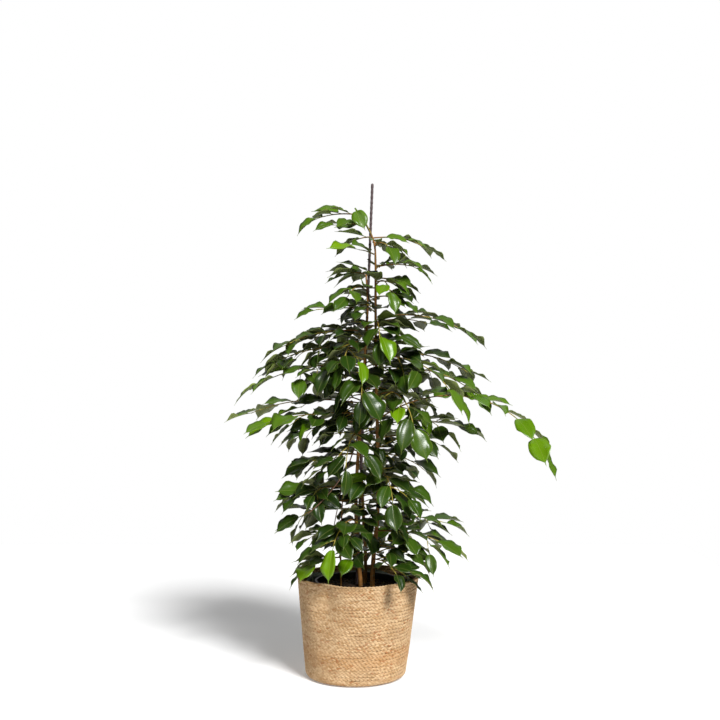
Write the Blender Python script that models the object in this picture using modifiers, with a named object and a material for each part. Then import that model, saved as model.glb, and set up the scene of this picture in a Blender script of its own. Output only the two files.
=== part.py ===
# Potted weeping fig: a young tree of several slender trunks beside a cane, in a nursery pot
# with a film liner, inside a soft woven basket.
# Metres, +Z up. The origin is the centre of the basket's flat underside, +Y points away from the
# viewer. Azimuths are in degrees: 0 right, 90 away, 180 left, 270 toward the viewer.

import math
import random

import bmesh
import bpy
from mathutils import Quaternion, Vector
from mathutils.bvhtree import BVHTree

# Driving dimensions

gap = 0.0003
segments = 28

basket = {
    "height": 0.207,
    "rings": (0.168, 0.120),
    "rimRadius": 0.1265,
    "baseRadius": 0.1055,
    "cornerRadius": 0.012,
    "wall": 0.0055,
    "dents": ((237, 0.0115, 14), (305, 0.0075, 10), (95, 0.0045, 18)),
    "dentStart": 0.100,
    "dentSwell": 0.72,
    "wobble": 0.0012,
    "lean": 0.0050,
}

nurseryPot = {"height": 0.190, "rimRadius": 0.0865, "baseRadius": 0.0680, "wall": 0.0012, "lip": 0.0030,
              "shift": 0.0050}

liner = {"thickness": 0.0007, "top": 0.1960, "ripple": 0.0032, "ripples": 9, "edgeWave": 0.0040,
         "middle": 0.120, "low": 0.024, "footInset": 0.012, "inset": 0.007, "taper": 0.004}

soil = {"top": 0.1850, "bump": 0.0016, "rings": (0.35, 0.70), "edgeDrop": 0.002, "slack": 0.0005,
        "holeSlack": 0.00048, "holeSides": 12}

cane = {"foot": (0.0000, 0.0060, 0.126), "head": (0.0355, 0.0060, 1.026), "radius": 0.0030}

clip = {"height": 0.8400, "thickness": 0.0045, "wall": 0.0016, "sides": 14, "room": 0.0007,
        "holeSlack": 0.0006, "holeReach": 0.008}

# Each trunk is a smooth path through hand-set points: x, y, z and radius.
stems = {
    "left": (
        (0.0110, -0.0140, 0.130, 0.0046), (0.0110, -0.0140, 0.186, 0.0046), (0.0060, -0.0180, 0.250, 0.0042),
        (0.0010, -0.0170, 0.360, 0.0038), (0.0080, -0.0150, 0.500, 0.0033), (0.0180, -0.0130, 0.640, 0.0027),
        (0.0250, -0.0110, 0.760, 0.0020), (0.0220, -0.0110, 0.835, 0.0015),
    ),
    "right": (
        (0.0350, -0.0100, 0.130, 0.0052), (0.0350, -0.0100, 0.186, 0.0052), (0.0380, -0.0100, 0.250, 0.0047),
        (0.0470, -0.0050, 0.350, 0.0042), (0.0460, -0.0020, 0.500, 0.0037), (0.0430, -0.0030, 0.640, 0.0032),
        (0.0420, -0.0040, 0.790, 0.0025), (0.0420, -0.0050, 0.850, 0.0022), (0.0390, -0.0080, 0.900, 0.0021),
        (0.0210, -0.0110, 0.940, 0.0020), (-0.0010, -0.0120, 0.972, 0.0018),
    ),
    "back": (
        (0.0200, 0.0220, 0.130, 0.0042), (0.0200, 0.0220, 0.186, 0.0042), (0.0210, 0.0260, 0.250, 0.0038),
        (0.0150, 0.0320, 0.360, 0.0034), (0.0110, 0.0330, 0.500, 0.0028), (0.0180, 0.0280, 0.640, 0.0022),
        (0.0220, 0.0250, 0.730, 0.0016),
    ),
    "shoot": (
        (-0.0300, -0.0060, 0.140, 0.0019), (-0.0300, -0.0060, 0.186, 0.0019),
        (-0.0310, -0.0100, 0.260, 0.0017), (-0.0280, -0.0160, 0.340, 0.0014), (-0.0250, -0.0200, 0.400, 0.0011),
    ),
}

# A leafy branch for each line: trunk, height on it, azimuth, length, rise at its root, droop along it,
# swing to the side, leaves, size of leaf, and youth from 0 (old, dark) to 1 (new, bright).
branches = (
    ("right", 0.958, 184, 0.084, 6, 26, 0, 5, 0.95, 0.8),
    ("right", 0.935, 190, 0.061, 10, 24, 0, 4, 0.80, 0.3),
    ("right", 0.912, 168, 0.034, 2, 30, 0, 3, 0.90, 0.7),
    ("right", 0.910, 8, 0.107, 7, 34, 0, 5, 0.88, 0.8),
    ("right", 0.850, 352, 0.078, 12, 28, 0, 4, 1.00, 0.2),
    ("right", 0.892, 300, 0.052, 22, 60, 0, 3, 0.95, 0.2),
    ("right", 0.900, 52, 0.056, 12, 44, 0, 4, 0.95, 0.2),
    ("left", 0.838, 184, 0.032, 14, 26, 0, 3, 1.02, 0.2),
    ("right", 0.826, 6, 0.047, 6, 36, 0, 3, 0.98, 0.4),
    ("right", 0.812, 292, 0.080, 24, 84, 0, 4, 0.95, 0.8),
    ("left", 0.800, 236, 0.074, 22, 78, 0, 4, 0.98, 0.2),
    ("left", 0.764, 176, 0.105, 2, 8, 0, 4, 0.85, 0.5),
    ("right", 0.745, 354, 0.187, 9, 40, 4, 7, 0.92, 0.1),
    ("right", 0.735, 28, 0.122, 12, 28, 0, 5, 0.95, 0.2),
    ("left", 0.735, 112, 0.105, 16, 60, 0, 5, 0.95, 0.2),
    ("left", 0.716, 190, 0.173, 5, 34, 0, 7, 0.95, 0.2),
    ("right", 0.725, 274, 0.110, 22, 92, 0, 6, 1.00, 0.6),
    ("right", 0.667, 8, 0.199, 8, 42, -4, 7, 0.95, 0.1),
    ("left", 0.678, 177, 0.181, 8, 34, 0, 7, 1.02, 0.3),
    ("left", 0.685, 246, 0.130, 20, 88, 0, 5, 1.00, 0.3),
    ("right", 0.662, 334, 0.205, 13, 66, 10, 7, 1.05, 0.8),
    ("back", 0.705, 84, 0.145, 18, 66, 0, 5, 0.95, 0.2),
    ("left", 0.644, 184, 0.217, 5, 32, 0, 6, 1.05, 0.7),
    ("right", 0.630, 2, 0.210, 12, 52, 0, 7, 1.00, 0.1),
    ("left", 0.625, 268, 0.145, 22, 96, 0, 6, 1.05, 0.3),
    ("back", 0.640, 128, 0.170, 16, 62, 0, 5, 1.00, 0.2),
    ("back", 0.610, 44, 0.170, 16, 62, 0, 5, 1.00, 0.2),
    ("left", 0.566, 175, 0.233, 9, 32, 0, 7, 1.02, 0.5),
    ("right", 0.580, 302, 0.170, 20, 90, -8, 7, 1.10, 0.9),
    ("left", 0.545, 203, 0.201, 4, 18, 0, 6, 1.12, 0.6),
    ("right", 0.532, 4, 0.380, 32, 90, -38, 13, 1.12, 0.5),
    ("back", 0.540, 98, 0.170, 14, 62, 0, 5, 1.00, 0.1),
    ("left", 0.526, 192, 0.112, 6, 32, 0, 6, 1.00, 0.1),
    ("right", 0.520, 10, 0.181, 10, 26, 0, 6, 0.98, 0.1),
    ("left", 0.495, 258, 0.150, 20, 96, 0, 5, 1.05, 0.5),
    ("right", 0.492, 336, 0.092, 14, 30, 0, 5, 1.05, 0.2),
    ("left", 0.460, 186, 0.094, 4, 28, 0, 6, 1.02, 0.2),
    ("back", 0.450, 28, 0.160, 10, 50, 0, 4, 1.00, 0.1),
    ("right", 0.415, 284, 0.130, 20, 92, 0, 6, 1.05, 0.4),
    ("left", 0.394, 202, 0.117, 5, 22, 0, 6, 0.98, 0.1),
    ("back", 0.390, 122, 0.145, 12, 58, 0, 4, 1.00, 0.1),
    ("right", 0.330, 356, 0.134, 5, 22, 0, 5, 1.02, 0.1),
    ("shoot", 0.302, 182, 0.040, 0, 10, 0, 3, 0.95, 0.2),
    ("left", 0.325, 246, 0.120, 10, 66, 0, 5, 1.08, 0.3),
    ("right", 0.300, 352, 0.147, 3, 30, 0, 5, 1.02, 0.5),
    ("right", 0.270, 324, 0.066, 6, 34, 0, 3, 1.00, 0.3),
    ("back", 0.290, 78, 0.125, 10, 40, 0, 4, 1.00, 0.1),
    ("shoot", 0.245, 209, 0.071, 4, 34, 0, 5, 1.12, 0.7),
    ("right", 0.242, 292, 0.112, 8, 30, 0, 4, 0.84, 0.2),
    ("left", 0.366, 192, 0.117, 0, 34, 0, 4, 0.98, 0.1),
)

# Bare twigs, cut back long ago, that grow from a branch: which branch, which of its rings, and the
# steps from there: x, y, z and radius.
prunedTwigs = {
    34: (1, ((-0.0170, -0.0380, -0.0500, 0.0013), (-0.0370, -0.0580, -0.0850, 0.0012),
             (-0.0710, -0.0700, -0.1250, 0.0011), (-0.1000, -0.0780, -0.1500, 0.0010))),
    39: (2, ((-0.0060, -0.0160, -0.0300, 0.0011), (-0.0120, -0.0240, -0.0600, 0.0010),
             (-0.0200, -0.0270, -0.1000, 0.0009))),
}

leafShape = {
    "length": 0.077,
    "width": 0.0370,
    "stalk": 0.15,
    "stalkWidth": 0.0014,
    "thickness": 0.0007,
    "rows": (0.0, 0.15, 0.34, 0.68, 1.0),
    "fullness": 1.12,
    "bodyEnd": 0.84,
    "tipWidth": 0.24,
}

# How the leaves stand: each leaf's values are drawn between two limits, or up to one.
leafHabit = {
    "spread": (0.45, 0.85),
    "lastSpread": 0.10,
    "hang": (-0.08, 0.30),
    "stray": 0.13,
    "strayStep": 0.02,
    "faceUp": 0.80,
    "faceOut": (0.0, 0.45),
    "faceSide": (-0.10, 0.25),
    "faceLight": (0.0, 0.32),
    "roll": 0.46,
    "rollStep": 0.05,
    "length": (0.80, 1.10),
    "lastLength": 0.92,
    "width": (0.82, 1.12),
    "arch": (0.22, 0.75),
    "lift": (0.05, 0.30),
    "fold": (0.18, 0.45),
    "wave": (0.08, 0.20),
    "sway": 0.004,
    "youthSpread": 0.3,
    "twist": 0.55,
    "lightFrom": 285,
    "flatAside": 0.6,
}

twigShape = {"rootRadius": 0.0016, "tipRadius": 0.0008, "firstLeaf": 0.16, "steps": 40, "tipSink": 0.003,
             "jointReach": 0.004, "jointMerges": (0.0004, 0.0003, 0.0002, 0.0001)}

# The room that a new twig or leaf keeps from what already stands.
room = {
    "bead": 0.004,
    "twigToTwig": 0.0025,
    "twigToPot": 0.004,
    "leafToPot": 0.003,
    "leafToTwig": 0.0012,
    "leafToLeaf": 0.0011,
    "leafEdge": 0.001,
    "ownRoot": 0.009,
    "reach": 0.006,
    "wellInset": 0.012,
}
tries = {"twig": 60, "leaf": 40}


# Paths

def unitAlong(azimuth, elevation):
    turn = math.radians(azimuth)
    climb = math.radians(elevation)
    return Vector((math.cos(turn) * math.cos(climb), math.sin(turn) * math.cos(climb), math.sin(climb)))


def smoothPath(points, perSpan):
    # A curve that passes through every point and keeps its radius in the fourth place.
    knots = [Vector(point) for point in points]
    path = []
    for index in range(len(knots) - 1):
        before = knots[max(index - 1, 0)]
        start, end = knots[index], knots[index + 1]
        after = knots[min(index + 2, len(knots) - 1)]
        for step in range(perSpan):
            t = step / perSpan
            path.append(
                0.5 * (2 * start + (end - before) * t + (2 * before - 5 * start + 4 * end - after) * t ** 2
                       + (3 * start - before - 3 * end + after) * t ** 3)
            )
    path.append(knots[-1])
    return path


def stemPath(name):
    return smoothPath(stems[name], 2)


def canePath():
    foot, head = Vector(cane["foot"]), Vector(cane["head"])
    return [Vector((*foot, cane["radius"])), Vector((*head, cane["radius"]))]


def pathAtHeight(path, height):
    # The path's point, radius and direction where it first reaches a height.
    for start, end in zip(path, path[1:]):
        if end.z >= height:
            share = (height - start.z) / (end.z - start.z)
            return start.lerp(end, share), (end.xyz - start.xyz).normalized()
    return path[-1], (path[-1].xyz - path[-2].xyz).normalized()


def growTwig(row, turn, lift):
    # A twig leaves its trunk's surface and droops, with a ring between each leaf and the next.
    stem, height, azimuth, length, rise, droop, swing = row[:7]
    centre, grain = pathAtHeight(stemPath(stem), height)
    heading = unitAlong(azimuth + turn, rise + lift)
    slope = abs(heading.dot(grain))
    reach = centre.w + gap + twigShape["rootRadius"] * slope
    point = centre.xyz + heading * reach / math.sqrt(1 - slope ** 2)
    steps = twigShape["steps"]
    points = [point.copy()]
    for index in range(steps):
        share = (index + 0.5) / steps
        heading = unitAlong(azimuth + turn + swing * share, rise + lift - droop * share ** 1.2)
        point = point + heading * length / steps
        points.append(point.copy())
    leafCount = row[7]
    first = twigShape["firstLeaf"]
    spacing = (1 - first) / (leafCount - 1)
    shares = [0.0] + [first + spacing * (index - 0.5) for index in range(leafCount)] + [1.0]
    if shares[1] < 0.04:
        del shares[1]
    rings = []
    for share in shares:
        place = min(int(share * steps), steps - 1)
        spot = points[place].lerp(points[place + 1], share * steps - place)
        rings.append(Vector((*spot, twigRadius(share))))
    roots, headings = [], []
    for start, end in zip(rings[-leafCount - 1:-1], rings[-leafCount:]):
        headings.append((end.xyz - start.xyz).normalized())
        roots.append((start.xyz + end.xyz) / 2)
    roots[-1] = rings[-1].xyz - headings[-1] * twigShape["tipSink"]
    return {"rings": rings, "roots": roots, "headings": headings}


def prunedPath(number, twig):
    # A bare twig starts inside its branch and follows its own steps.
    ring, steps = prunedTwigs[number]
    start = twig["rings"][ring]
    knots = [start] + [Vector((*(start.xyz + Vector(step[:3])), step[3])) for step in steps]
    return smoothPath(knots, 2)


def twigRadius(share):
    return twigShape["rootRadius"] + (twigShape["tipRadius"] - twigShape["rootRadius"]) * share


# Leaf form

def bladeHalfWidth(leaf, share):
    # An egg-shaped blade, widest near its middle, that narrows at once to a slender drip tip.
    body = min(max(share / leafShape["bodyEnd"], 0.0), 1.0)
    oval = body ** 0.66 * (1 - body) ** 0.64 / 0.4063
    dripTip = leafShape["tipWidth"] * max(1 - share, 0.0) ** 0.7
    return leaf["width"] / 2 * math.hypot(oval, dripTip)


def leafPoint(leaf, along, across, lift=0.0, margin=0.0):
    # The stalk and midrib lie on an arc; the blade folds up from the midrib, twists and waves.
    arch = leaf["arch"]
    angle = leaf["lift"] - arch * along
    forward = (math.sin(leaf["lift"]) - math.sin(angle)) / arch
    upward = (math.cos(angle) - math.cos(leaf["lift"])) / arch
    straight = leaf["normal"] * math.cos(angle) - leaf["heading"] * math.sin(angle)
    twist = leaf["twist"] * along
    outward = straight * math.cos(twist) - leaf["across"] * math.sin(twist)
    level = leaf["across"] * math.cos(twist) + straight * math.sin(twist)
    centre = leaf["root"] + (leaf["heading"] * forward + leaf["normal"] * upward) * leaf["length"]
    share = max(along - leafShape["stalk"], 0.0) / (1 - leafShape["stalk"])
    halfWidth = leafShape["stalkWidth"] / 2
    raised = 0.0
    if share > 0:
        halfWidth = max(bladeHalfWidth(leaf, share), halfWidth * (1 - share))
        wave = math.sin(math.tau * (1.3 * share + leaf["phase"] + 0.25 * across))
        raised = leaf["fold"] * abs(across) * halfWidth + leaf["wave"] * wave * across ** 2 * halfWidth
    sideways = across * (halfWidth + margin) + leaf["sway"] * share ** 2
    return centre + level * sideways + outward * (raised + lift)


def leafSheet(leaf, lift=0.0, margin=0.0):
    # A coarse open sheet: a grid of three columns, closed to the stalk's width and to the tip.
    rows = leafShape["rows"]
    sheet = bmesh.new()
    bmesh.ops.create_grid(sheet, x_segments=2, y_segments=len(rows) - 1, size=0.5)
    for vertex in sheet.verts:
        row = round((vertex.co.y + 0.5) * (len(rows) - 1))
        across = 2 * vertex.co.x
        if row != 2 and abs(across) < 0.5:
            across = -1.0
        if row == len(rows) - 1:
            across = 0.0
        if row > 1:
            across *= leafShape["fullness"]
        vertex.co = leafPoint(leaf, rows[row], across, lift, margin if row > 1 else 0.0)
    bmesh.ops.remove_doubles(sheet, verts=sheet.verts[:], dist=0.00001)
    bmesh.ops.triangulate(sheet, faces=[face for face in sheet.faces if len(face.verts) > 3])
    return sheet


def sheetTree(sheets):
    # One search tree over several sheets, which are freed, and points all over them.
    points, corners, between = [], [], []
    for sheet in sheets:
        first = len(points)
        sheet.verts.index_update()
        points += [vertex.co.copy() for vertex in sheet.verts]
        corners += [[first + vertex.index for vertex in face.verts] for face in sheet.faces]
        for edge in sheet.edges:
            start, end = edge.verts
            between += [start.co.lerp(end.co, share) for share in (0.25, 0.5, 0.75)]
        sheet.free()
    return BVHTree.FromPolygons(points, corners), points + between


# Layout: twigs first, then leaves, each kept clear of all that is already placed

class Layout:
    def __init__(self):
        self.rods = []
        self.trees = []
        self.twigs = []
        self.leaves = []
        self.dropped = 0
        for path in [canePath()] + [stemPath(name) for name in stems]:
            self.rods.append(self.beadsAlong(path))

    def beadsAlong(self, path):
        # A point and a radius every few millimetres of a rod.
        beads = []
        for start, end in zip(path, path[1:]):
            count = max(1, math.ceil((end.xyz - start.xyz).length / room["bead"]))
            beads += [start.lerp(end, step / count) for step in range(count)]
        beads.append(path[-1])
        return beads

    def twigClear(self, twigBeads, ownRod):
        for index, twigBead in enumerate(twigBeads):
            point = twigBead.xyz
            if not clearOfPot(point, room["twigToPot"]):
                return False
            for rod, beads in enumerate(self.rods):
                if rod == ownRod and index < 3:
                    continue
                for bead in beads:
                    apart = bead.w + twigShape["rootRadius"] + room["twigToTwig"]
                    if (bead.xyz - point).length < apart:
                        return False
        return True

    def placeTwigs(self):
        for number, row in enumerate(branches):
            draw = random.Random(4100 + number)
            ownRod = 1 + list(stems).index(row[0])
            turn, lift = 0.0, 0.0
            for attempt in range(tries["twig"]):
                twig = growTwig(row, turn, lift)
                beads = self.beadsAlong(twig["rings"])
                if self.twigClear(beads, ownRod):
                    break
                reach = 2 + attempt * 0.35
                turn = draw.uniform(-reach, reach)
                lift = draw.uniform(-reach, reach) * 0.6
            else:
                print("twig", number, "not clear")
            self.rods.append(beads)
            self.twigs.append(twig)
        for number in prunedTwigs:
            self.rods.append(self.beadsAlong(prunedPath(number, self.twigs[number])))

    def sheetClear(self, leaf, ownBeads, root):
        apart = room["leafToLeaf"]
        guard, points = sheetTree(leafSheet(leaf, lift, room["leafEdge"]) for lift in (-apart, 0.0, apart))
        low = [min(point[axis] for point in points) - room["reach"] for axis in range(3)]
        high = [max(point[axis] for point in points) + room["reach"] for axis in range(3)]
        if not all(clearOfPot(point, room["leafToPot"]) for point in points):
            return False
        for beads in self.rods:
            own = beads is ownBeads
            for bead in beads:
                if any(not low[axis] < bead[axis] < high[axis] for axis in range(3)):
                    continue
                if own and (bead.xyz - root).length < room["ownRoot"]:
                    continue
                if guard.find_nearest(bead.xyz, bead.w + room["leafToTwig"])[0] is not None:
                    return False
        for tree, treeLow, treeHigh in self.trees:
            if any(low[axis] > treeHigh[axis] or high[axis] < treeLow[axis] for axis in range(3)):
                continue
            if guard.overlap(tree):
                return False
        return True

    def keepSheet(self, leaf):
        tree, points = sheetTree([leafSheet(leaf)])
        low = [min(point[axis] for point in points) for axis in range(3)]
        high = [max(point[axis] for point in points) for axis in range(3)]
        self.trees.append((tree, low, high))

    def placeLeaves(self):
        firstTwigRod = 1 + len(stems)
        for number, row in enumerate(branches):
            draw = random.Random(700 + number)
            twig = self.twigs[number]
            ownBeads = self.rods[firstTwigRod + number]
            leaves = []
            for index, (root, heading) in enumerate(zip(twig["roots"], twig["headings"])):
                side = 1 if (index + number) % 2 else -1
                last = index == len(twig["roots"]) - 1
                for attempt in range(tries["leaf"]):
                    leaf = drawLeaf(draw, row, root, heading, side, last, attempt)
                    if self.sheetClear(leaf, ownBeads, root):
                        self.keepSheet(leaf)
                        leaves.append(leaf)
                        break
                else:
                    self.dropped += 1
            self.leaves.append(leaves)


def clearOfPot(point, margin):
    # Outside the basket's wall, over its rim, or over the soil well inside the nursery pot.
    if point[2] > basket["height"] + margin:
        return True
    x = point[0] - basketShift(point[2])
    radius = math.hypot(x, point[1])
    if radius > basketRadius(math.atan2(point[1], x), point[2]) + margin:
        return point[2] > margin
    return radius < nurseryPot["rimRadius"] - room["wellInset"] and point[2] > soil["top"] + margin


def drawLeaf(draw, row, root, heading, side, last, attempt):
    # A leaf points along its twig, to one side and a little down, and turns its face up and to the light
    # at the front right; it lies flatter on a twig that heads aside. Later attempts stray further.
    size, youth = row[8], row[9]
    habit = leafHabit
    stray = habit["stray"] + habit["strayStep"] * attempt
    up = Vector((0, 0, 1))
    sideways = heading.cross(up).normalized() * side
    spread = habit["lastSpread"] if last else draw.uniform(*habit["spread"])
    loose = 1 - habit["flatAside"] * abs(heading.x)
    hang = draw.uniform(*habit["hang"]) * loose
    jitter = Vector([draw.uniform(-stray, stray) for _ in range(3)])
    direction = (heading + sideways * spread - up * hang + jitter).normalized()
    outward = Vector((root.x - 0.02, root.y, 0)).normalized()
    towardLight = unitAlong(habit["lightFrom"], 0)
    face = up * habit["faceUp"] + outward * draw.uniform(*habit["faceOut"])
    face += sideways * draw.uniform(*habit["faceSide"])
    face += towardLight * draw.uniform(*habit["faceLight"]) * loose
    face = (face - direction * face.dot(direction)).normalized()
    roll = draw.uniform(-habit["roll"], habit["roll"]) * (1 + habit["rollStep"] * attempt) * (1 + loose) / 2
    face = Quaternion(direction, roll) @ face
    fullLength = leafShape["length"] * size
    length = fullLength * draw.uniform(*habit["length"])
    if last:
        length *= habit["lastLength"]
    return {
        "root": root,
        "heading": direction,
        "normal": face,
        "across": direction.cross(face).normalized(),
        "length": length,
        "width": leafShape["width"] * size * draw.uniform(*habit["width"]) * length / fullLength,
        "arch": draw.uniform(*habit["arch"]),
        "lift": draw.uniform(*habit["lift"]),
        "fold": draw.uniform(*habit["fold"]),
        "wave": draw.uniform(*habit["wave"]),
        "phase": draw.random(),
        "sway": draw.uniform(-habit["sway"], habit["sway"]),
        "youth": min(1.0, max(0.0, youth + draw.uniform(-habit["youthSpread"], habit["youthSpread"]))),
        "twist": draw.uniform(-habit["twist"], habit["twist"]),
    }


# Mesh tools

def addObject(name, mesh, material):
    thing = bpy.data.objects.new(name, mesh)
    plantCollection.objects.link(thing)
    mesh.materials.clear()
    mesh.materials.append(material)
    return thing


def meshFromBmesh(name, builder):
    mesh = bpy.data.meshes.new(name)
    builder.to_mesh(mesh)
    builder.free()
    return mesh


def bakeModifiers(thing):
    # Replaces an object's mesh by its evaluated one, so that later steps can shape it further.
    depsgraph = bpy.context.evaluated_depsgraph_get()
    baked = bpy.data.meshes.new_from_object(thing.evaluated_get(depsgraph))
    thing.modifiers.clear()
    thing.data = baked


def turnedMesh(name, profile, material, shift=0.0):
    # Spins an open profile, given from its outer top down to the centre, into an open surface.
    mesh = bpy.data.meshes.new(name)
    edges = [(index, index + 1) for index in range(len(profile) - 1)]
    mesh.from_pydata([(radius, 0, z) for radius, z in profile], edges, [])
    thing = addObject(name, mesh, material)
    screw = thing.modifiers.new("spin", "SCREW")
    screw.steps = segments
    screw.render_steps = segments
    screw.use_merge_vertices = True
    screw.merge_threshold = 0.00001
    screw.use_smooth_shade = True
    bakeModifiers(thing)
    for vertex in thing.data.vertices:
        vertex.co.x += shift
    return thing


def thicken(thing, thickness, offset, even=True):
    wall = thing.modifiers.new("wall", "SOLIDIFY")
    wall.thickness = thickness
    wall.offset = offset
    wall.use_even_offset = even
    bakeModifiers(thing)


def tube(name, path, sides, material, extra=0.0):
    # A curve through the path with its own radius at each point and filled caps, made a mesh.
    curve = bpy.data.curves.new(name, "CURVE")
    curve.dimensions = "3D"
    curve.bevel_depth = 1.0
    curve.bevel_resolution = (sides - 4) // 2
    curve.use_fill_caps = True
    spline = curve.splines.new("POLY")
    spline.points.add(len(path) - 1)
    for point, target in zip(spline.points, path):
        point.co = (*target.xyz, 1)
        point.radius = target.w + extra
        point.tilt = math.radians(45)
    wire = bpy.data.objects.new(name + "_path", curve)
    plantCollection.objects.link(wire)
    depsgraph = bpy.context.evaluated_depsgraph_get()
    mesh = bpy.data.meshes.new_from_object(wire.evaluated_get(depsgraph))
    bpy.data.objects.remove(wire)
    shape = bmesh.new()
    shape.from_mesh(mesh)
    bmesh.ops.remove_doubles(shape, verts=shape.verts[:], dist=0.00001)
    bmesh.ops.recalc_face_normals(shape, faces=shape.faces[:])
    shape.to_mesh(mesh)
    shape.free()
    mesh.name = name
    return addObject(name, mesh, material)


def isSound(shape):
    # Closed, with no face that runs through another.
    if any(len(edge.link_faces) != 2 for edge in shape.edges):
        return False
    shape.faces.ensure_lookup_table()
    shape.faces.index_update()
    tree = BVHTree.FromBMesh(shape)
    for first, second in tree.overlap(tree):
        if first < second and not set(shape.faces[first].verts) & set(shape.faces[second].verts):
            return False
    return True


def trimJoints(thing, roots):
    # Merges the crowded points that a union leaves round each root, where the shape stays sound.
    shape = bmesh.new()
    shape.from_mesh(thing.data)
    bmesh.ops.dissolve_verts(shape, verts=[vertex for vertex in shape.verts if len(vertex.link_edges) == 2])
    bmesh.ops.triangulate(shape, faces=shape.faces[:])
    for root in roots:
        for distance in twigShape["jointMerges"]:
            trial = shape.copy()
            reach = twigShape["jointReach"]
            crowded = [vertex for vertex in trial.verts if (vertex.co - root).length < reach]
            bmesh.ops.remove_doubles(trial, verts=crowded, dist=distance)
            if isSound(trial):
                shape.free()
                shape = trial
                break
            trial.free()
    shape.to_mesh(thing.data)
    shape.free()


def combine(thing, collection, operation, solver="EXACT"):
    # Joins or cuts with every object of a collection, applies it and removes them.
    union = thing.modifiers.new("combine", "BOOLEAN")
    union.operation = operation
    union.operand_type = "COLLECTION"
    union.collection = collection
    union.solver = solver
    bakeModifiers(thing)
    for other in list(collection.objects):
        bpy.data.objects.remove(other)


# Materials

def plainMaterial(name, colour, roughness):
    material = bpy.data.materials.new(name)
    material.use_nodes = True
    shader = material.node_tree.nodes["Principled BSDF"]
    shader.inputs["Base Color"].default_value = (*colour, 1)
    shader.inputs["Roughness"].default_value = roughness
    shader.inputs["Metallic"].default_value = 0.0
    material.diffuse_color = (*colour, 1)
    return material


# Pot and basket

def basketRadius(azimuth, z):
    # The sloping wall with its rounded foot, its soft wobble and the dents under the rim.
    corner = basket["cornerRadius"]
    climb = min(max((z - corner) / (basket["height"] - corner), 0.0), 1.0)
    radius = basket["baseRadius"] + (basket["rimRadius"] - basket["baseRadius"]) * climb
    if z < corner:
        radius -= corner - math.sqrt(max(corner ** 2 - (corner - z) ** 2, 0.0))
    soft = min(max((z - corner) / 0.05, 0.0), 1.0)
    radius += basket["wobble"] * soft * (math.sin(2 * azimuth + 0.6) + 0.7 * math.sin(3 * azimuth + 2.1))
    share = min(max((z - basket["dentStart"]) / (basket["height"] - basket["dentStart"]), 0.0), 1.0)
    depth = math.sin(math.pi * basket["dentSwell"] * share)
    for middle, deep, halfWidth in basket["dents"]:
        away = math.degrees(azimuth) - middle
        away = (away + 180) % 360 - 180
        radius -= deep * depth * math.exp(-(away / halfWidth) ** 2)
    return radius


def basketShift(z):
    # The soft basket leans a little, so that its rim stands off the centre of its base.
    return basket["lean"] * max(z, 0.0) / basket["height"]


def makeBasket(material):
    corner = basket["cornerRadius"]
    profile = [(1, z) for z in (basket["height"], *basket["rings"])]
    for step in range(3):
        angle = math.pi / 4 * step
        profile.append((1, corner - corner * math.sin(angle)))
    profile.append((0, 0))
    thing = turnedMesh("basket", profile, material)
    for vertex in thing.data.vertices:
        x, y, z = vertex.co
        if math.hypot(x, y) > 0.5:
            azimuth = math.atan2(y, x)
            radius = basketRadius(azimuth, z)
            vertex.co = (radius * math.cos(azimuth) + basketShift(z), radius * math.sin(azimuth), z)
    thicken(thing, basket["wall"], -1)
    return thing


def makeLiner(material):
    floor = basket["wall"] + gap
    foot = basket["baseRadius"] - basket["wall"] - liner["footInset"]
    top = liner["top"]
    profile = [(1, top), (1, liner["middle"]), (1, liner["low"]), (foot, floor), (0, floor)]
    thing = turnedMesh("liner", profile, material)
    for vertex in thing.data.vertices:
        x, y, z = vertex.co
        azimuth = math.atan2(y, x)
        if math.hypot(x, y) > 0.5:
            climb = (z - floor) / (top - floor)
            radius = basketRadius(azimuth, z) - basket["wall"] - liner["inset"] - liner["taper"] * climb
            radius += liner["ripple"] * climb * math.sin(liner["ripples"] * azimuth + 4 * climb)
            if z > top - 0.001:
                z += liner["edgeWave"] * math.sin(5 * azimuth + 1)
            vertex.co = (radius * math.cos(azimuth) + basketShift(z), radius * math.sin(azimuth), z)
    thicken(thing, liner["thickness"], -1)
    return thing


def potFloor():
    return basket["wall"] + gap + liner["thickness"] + gap


def potRadius(z):
    climb = (z - potFloor()) / nurseryPot["height"]
    return nurseryPot["baseRadius"] + (nurseryPot["rimRadius"] - nurseryPot["baseRadius"]) * climb


def makeNurseryPot(material):
    floor = potFloor()
    top = floor + nurseryPot["height"]
    rim = potRadius(top)
    profile = [(rim + nurseryPot["lip"], top), (rim, top), (potRadius(floor), floor), (0, floor)]
    thing = turnedMesh("nursery_pot", profile, material, nurseryPot["shift"])
    thicken(thing, nurseryPot["wall"], -1)
    return thing


def makeSoil(material, holes):
    floor = potFloor() + nurseryPot["wall"] + gap
    slack = nurseryPot["wall"] * 1.05 + soil["slack"]
    top = soil["top"]
    edge = potRadius(top) - slack
    profile = [(0, top)] + [(edge * share, top) for share in soil["rings"]]
    profile += [(edge, top - soil["edgeDrop"]), (potRadius(floor) - slack, floor), (0, floor)]
    thing = turnedMesh("soil", profile, material, nurseryPot["shift"])
    draw = random.Random(31)
    for vertex in thing.data.vertices:
        if vertex.co.z > top - 0.001:
            vertex.co.z += draw.uniform(-soil["bump"], soil["bump"])
    combine(thing, holes, "DIFFERENCE")
    return thing


# Cane, trunks and clip

def makeCane(material):
    return tube("cane", canePath(), 8, material)


def makeStem(name, material):
    return tube("stem_" + name, stemPath(name), 8, material)


def addCutter(holes, path, slack):
    # A rod a little wider than its path, kept out of renders, that a hole is cut with.
    cutter = tube("hole", path, soil["holeSides"], cutterGrey, extra=slack)
    plantCollection.objects.unlink(cutter)
    holes.objects.link(cutter)
    cutter.hide_render = True
    cutter.display_type = "WIRE"


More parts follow.
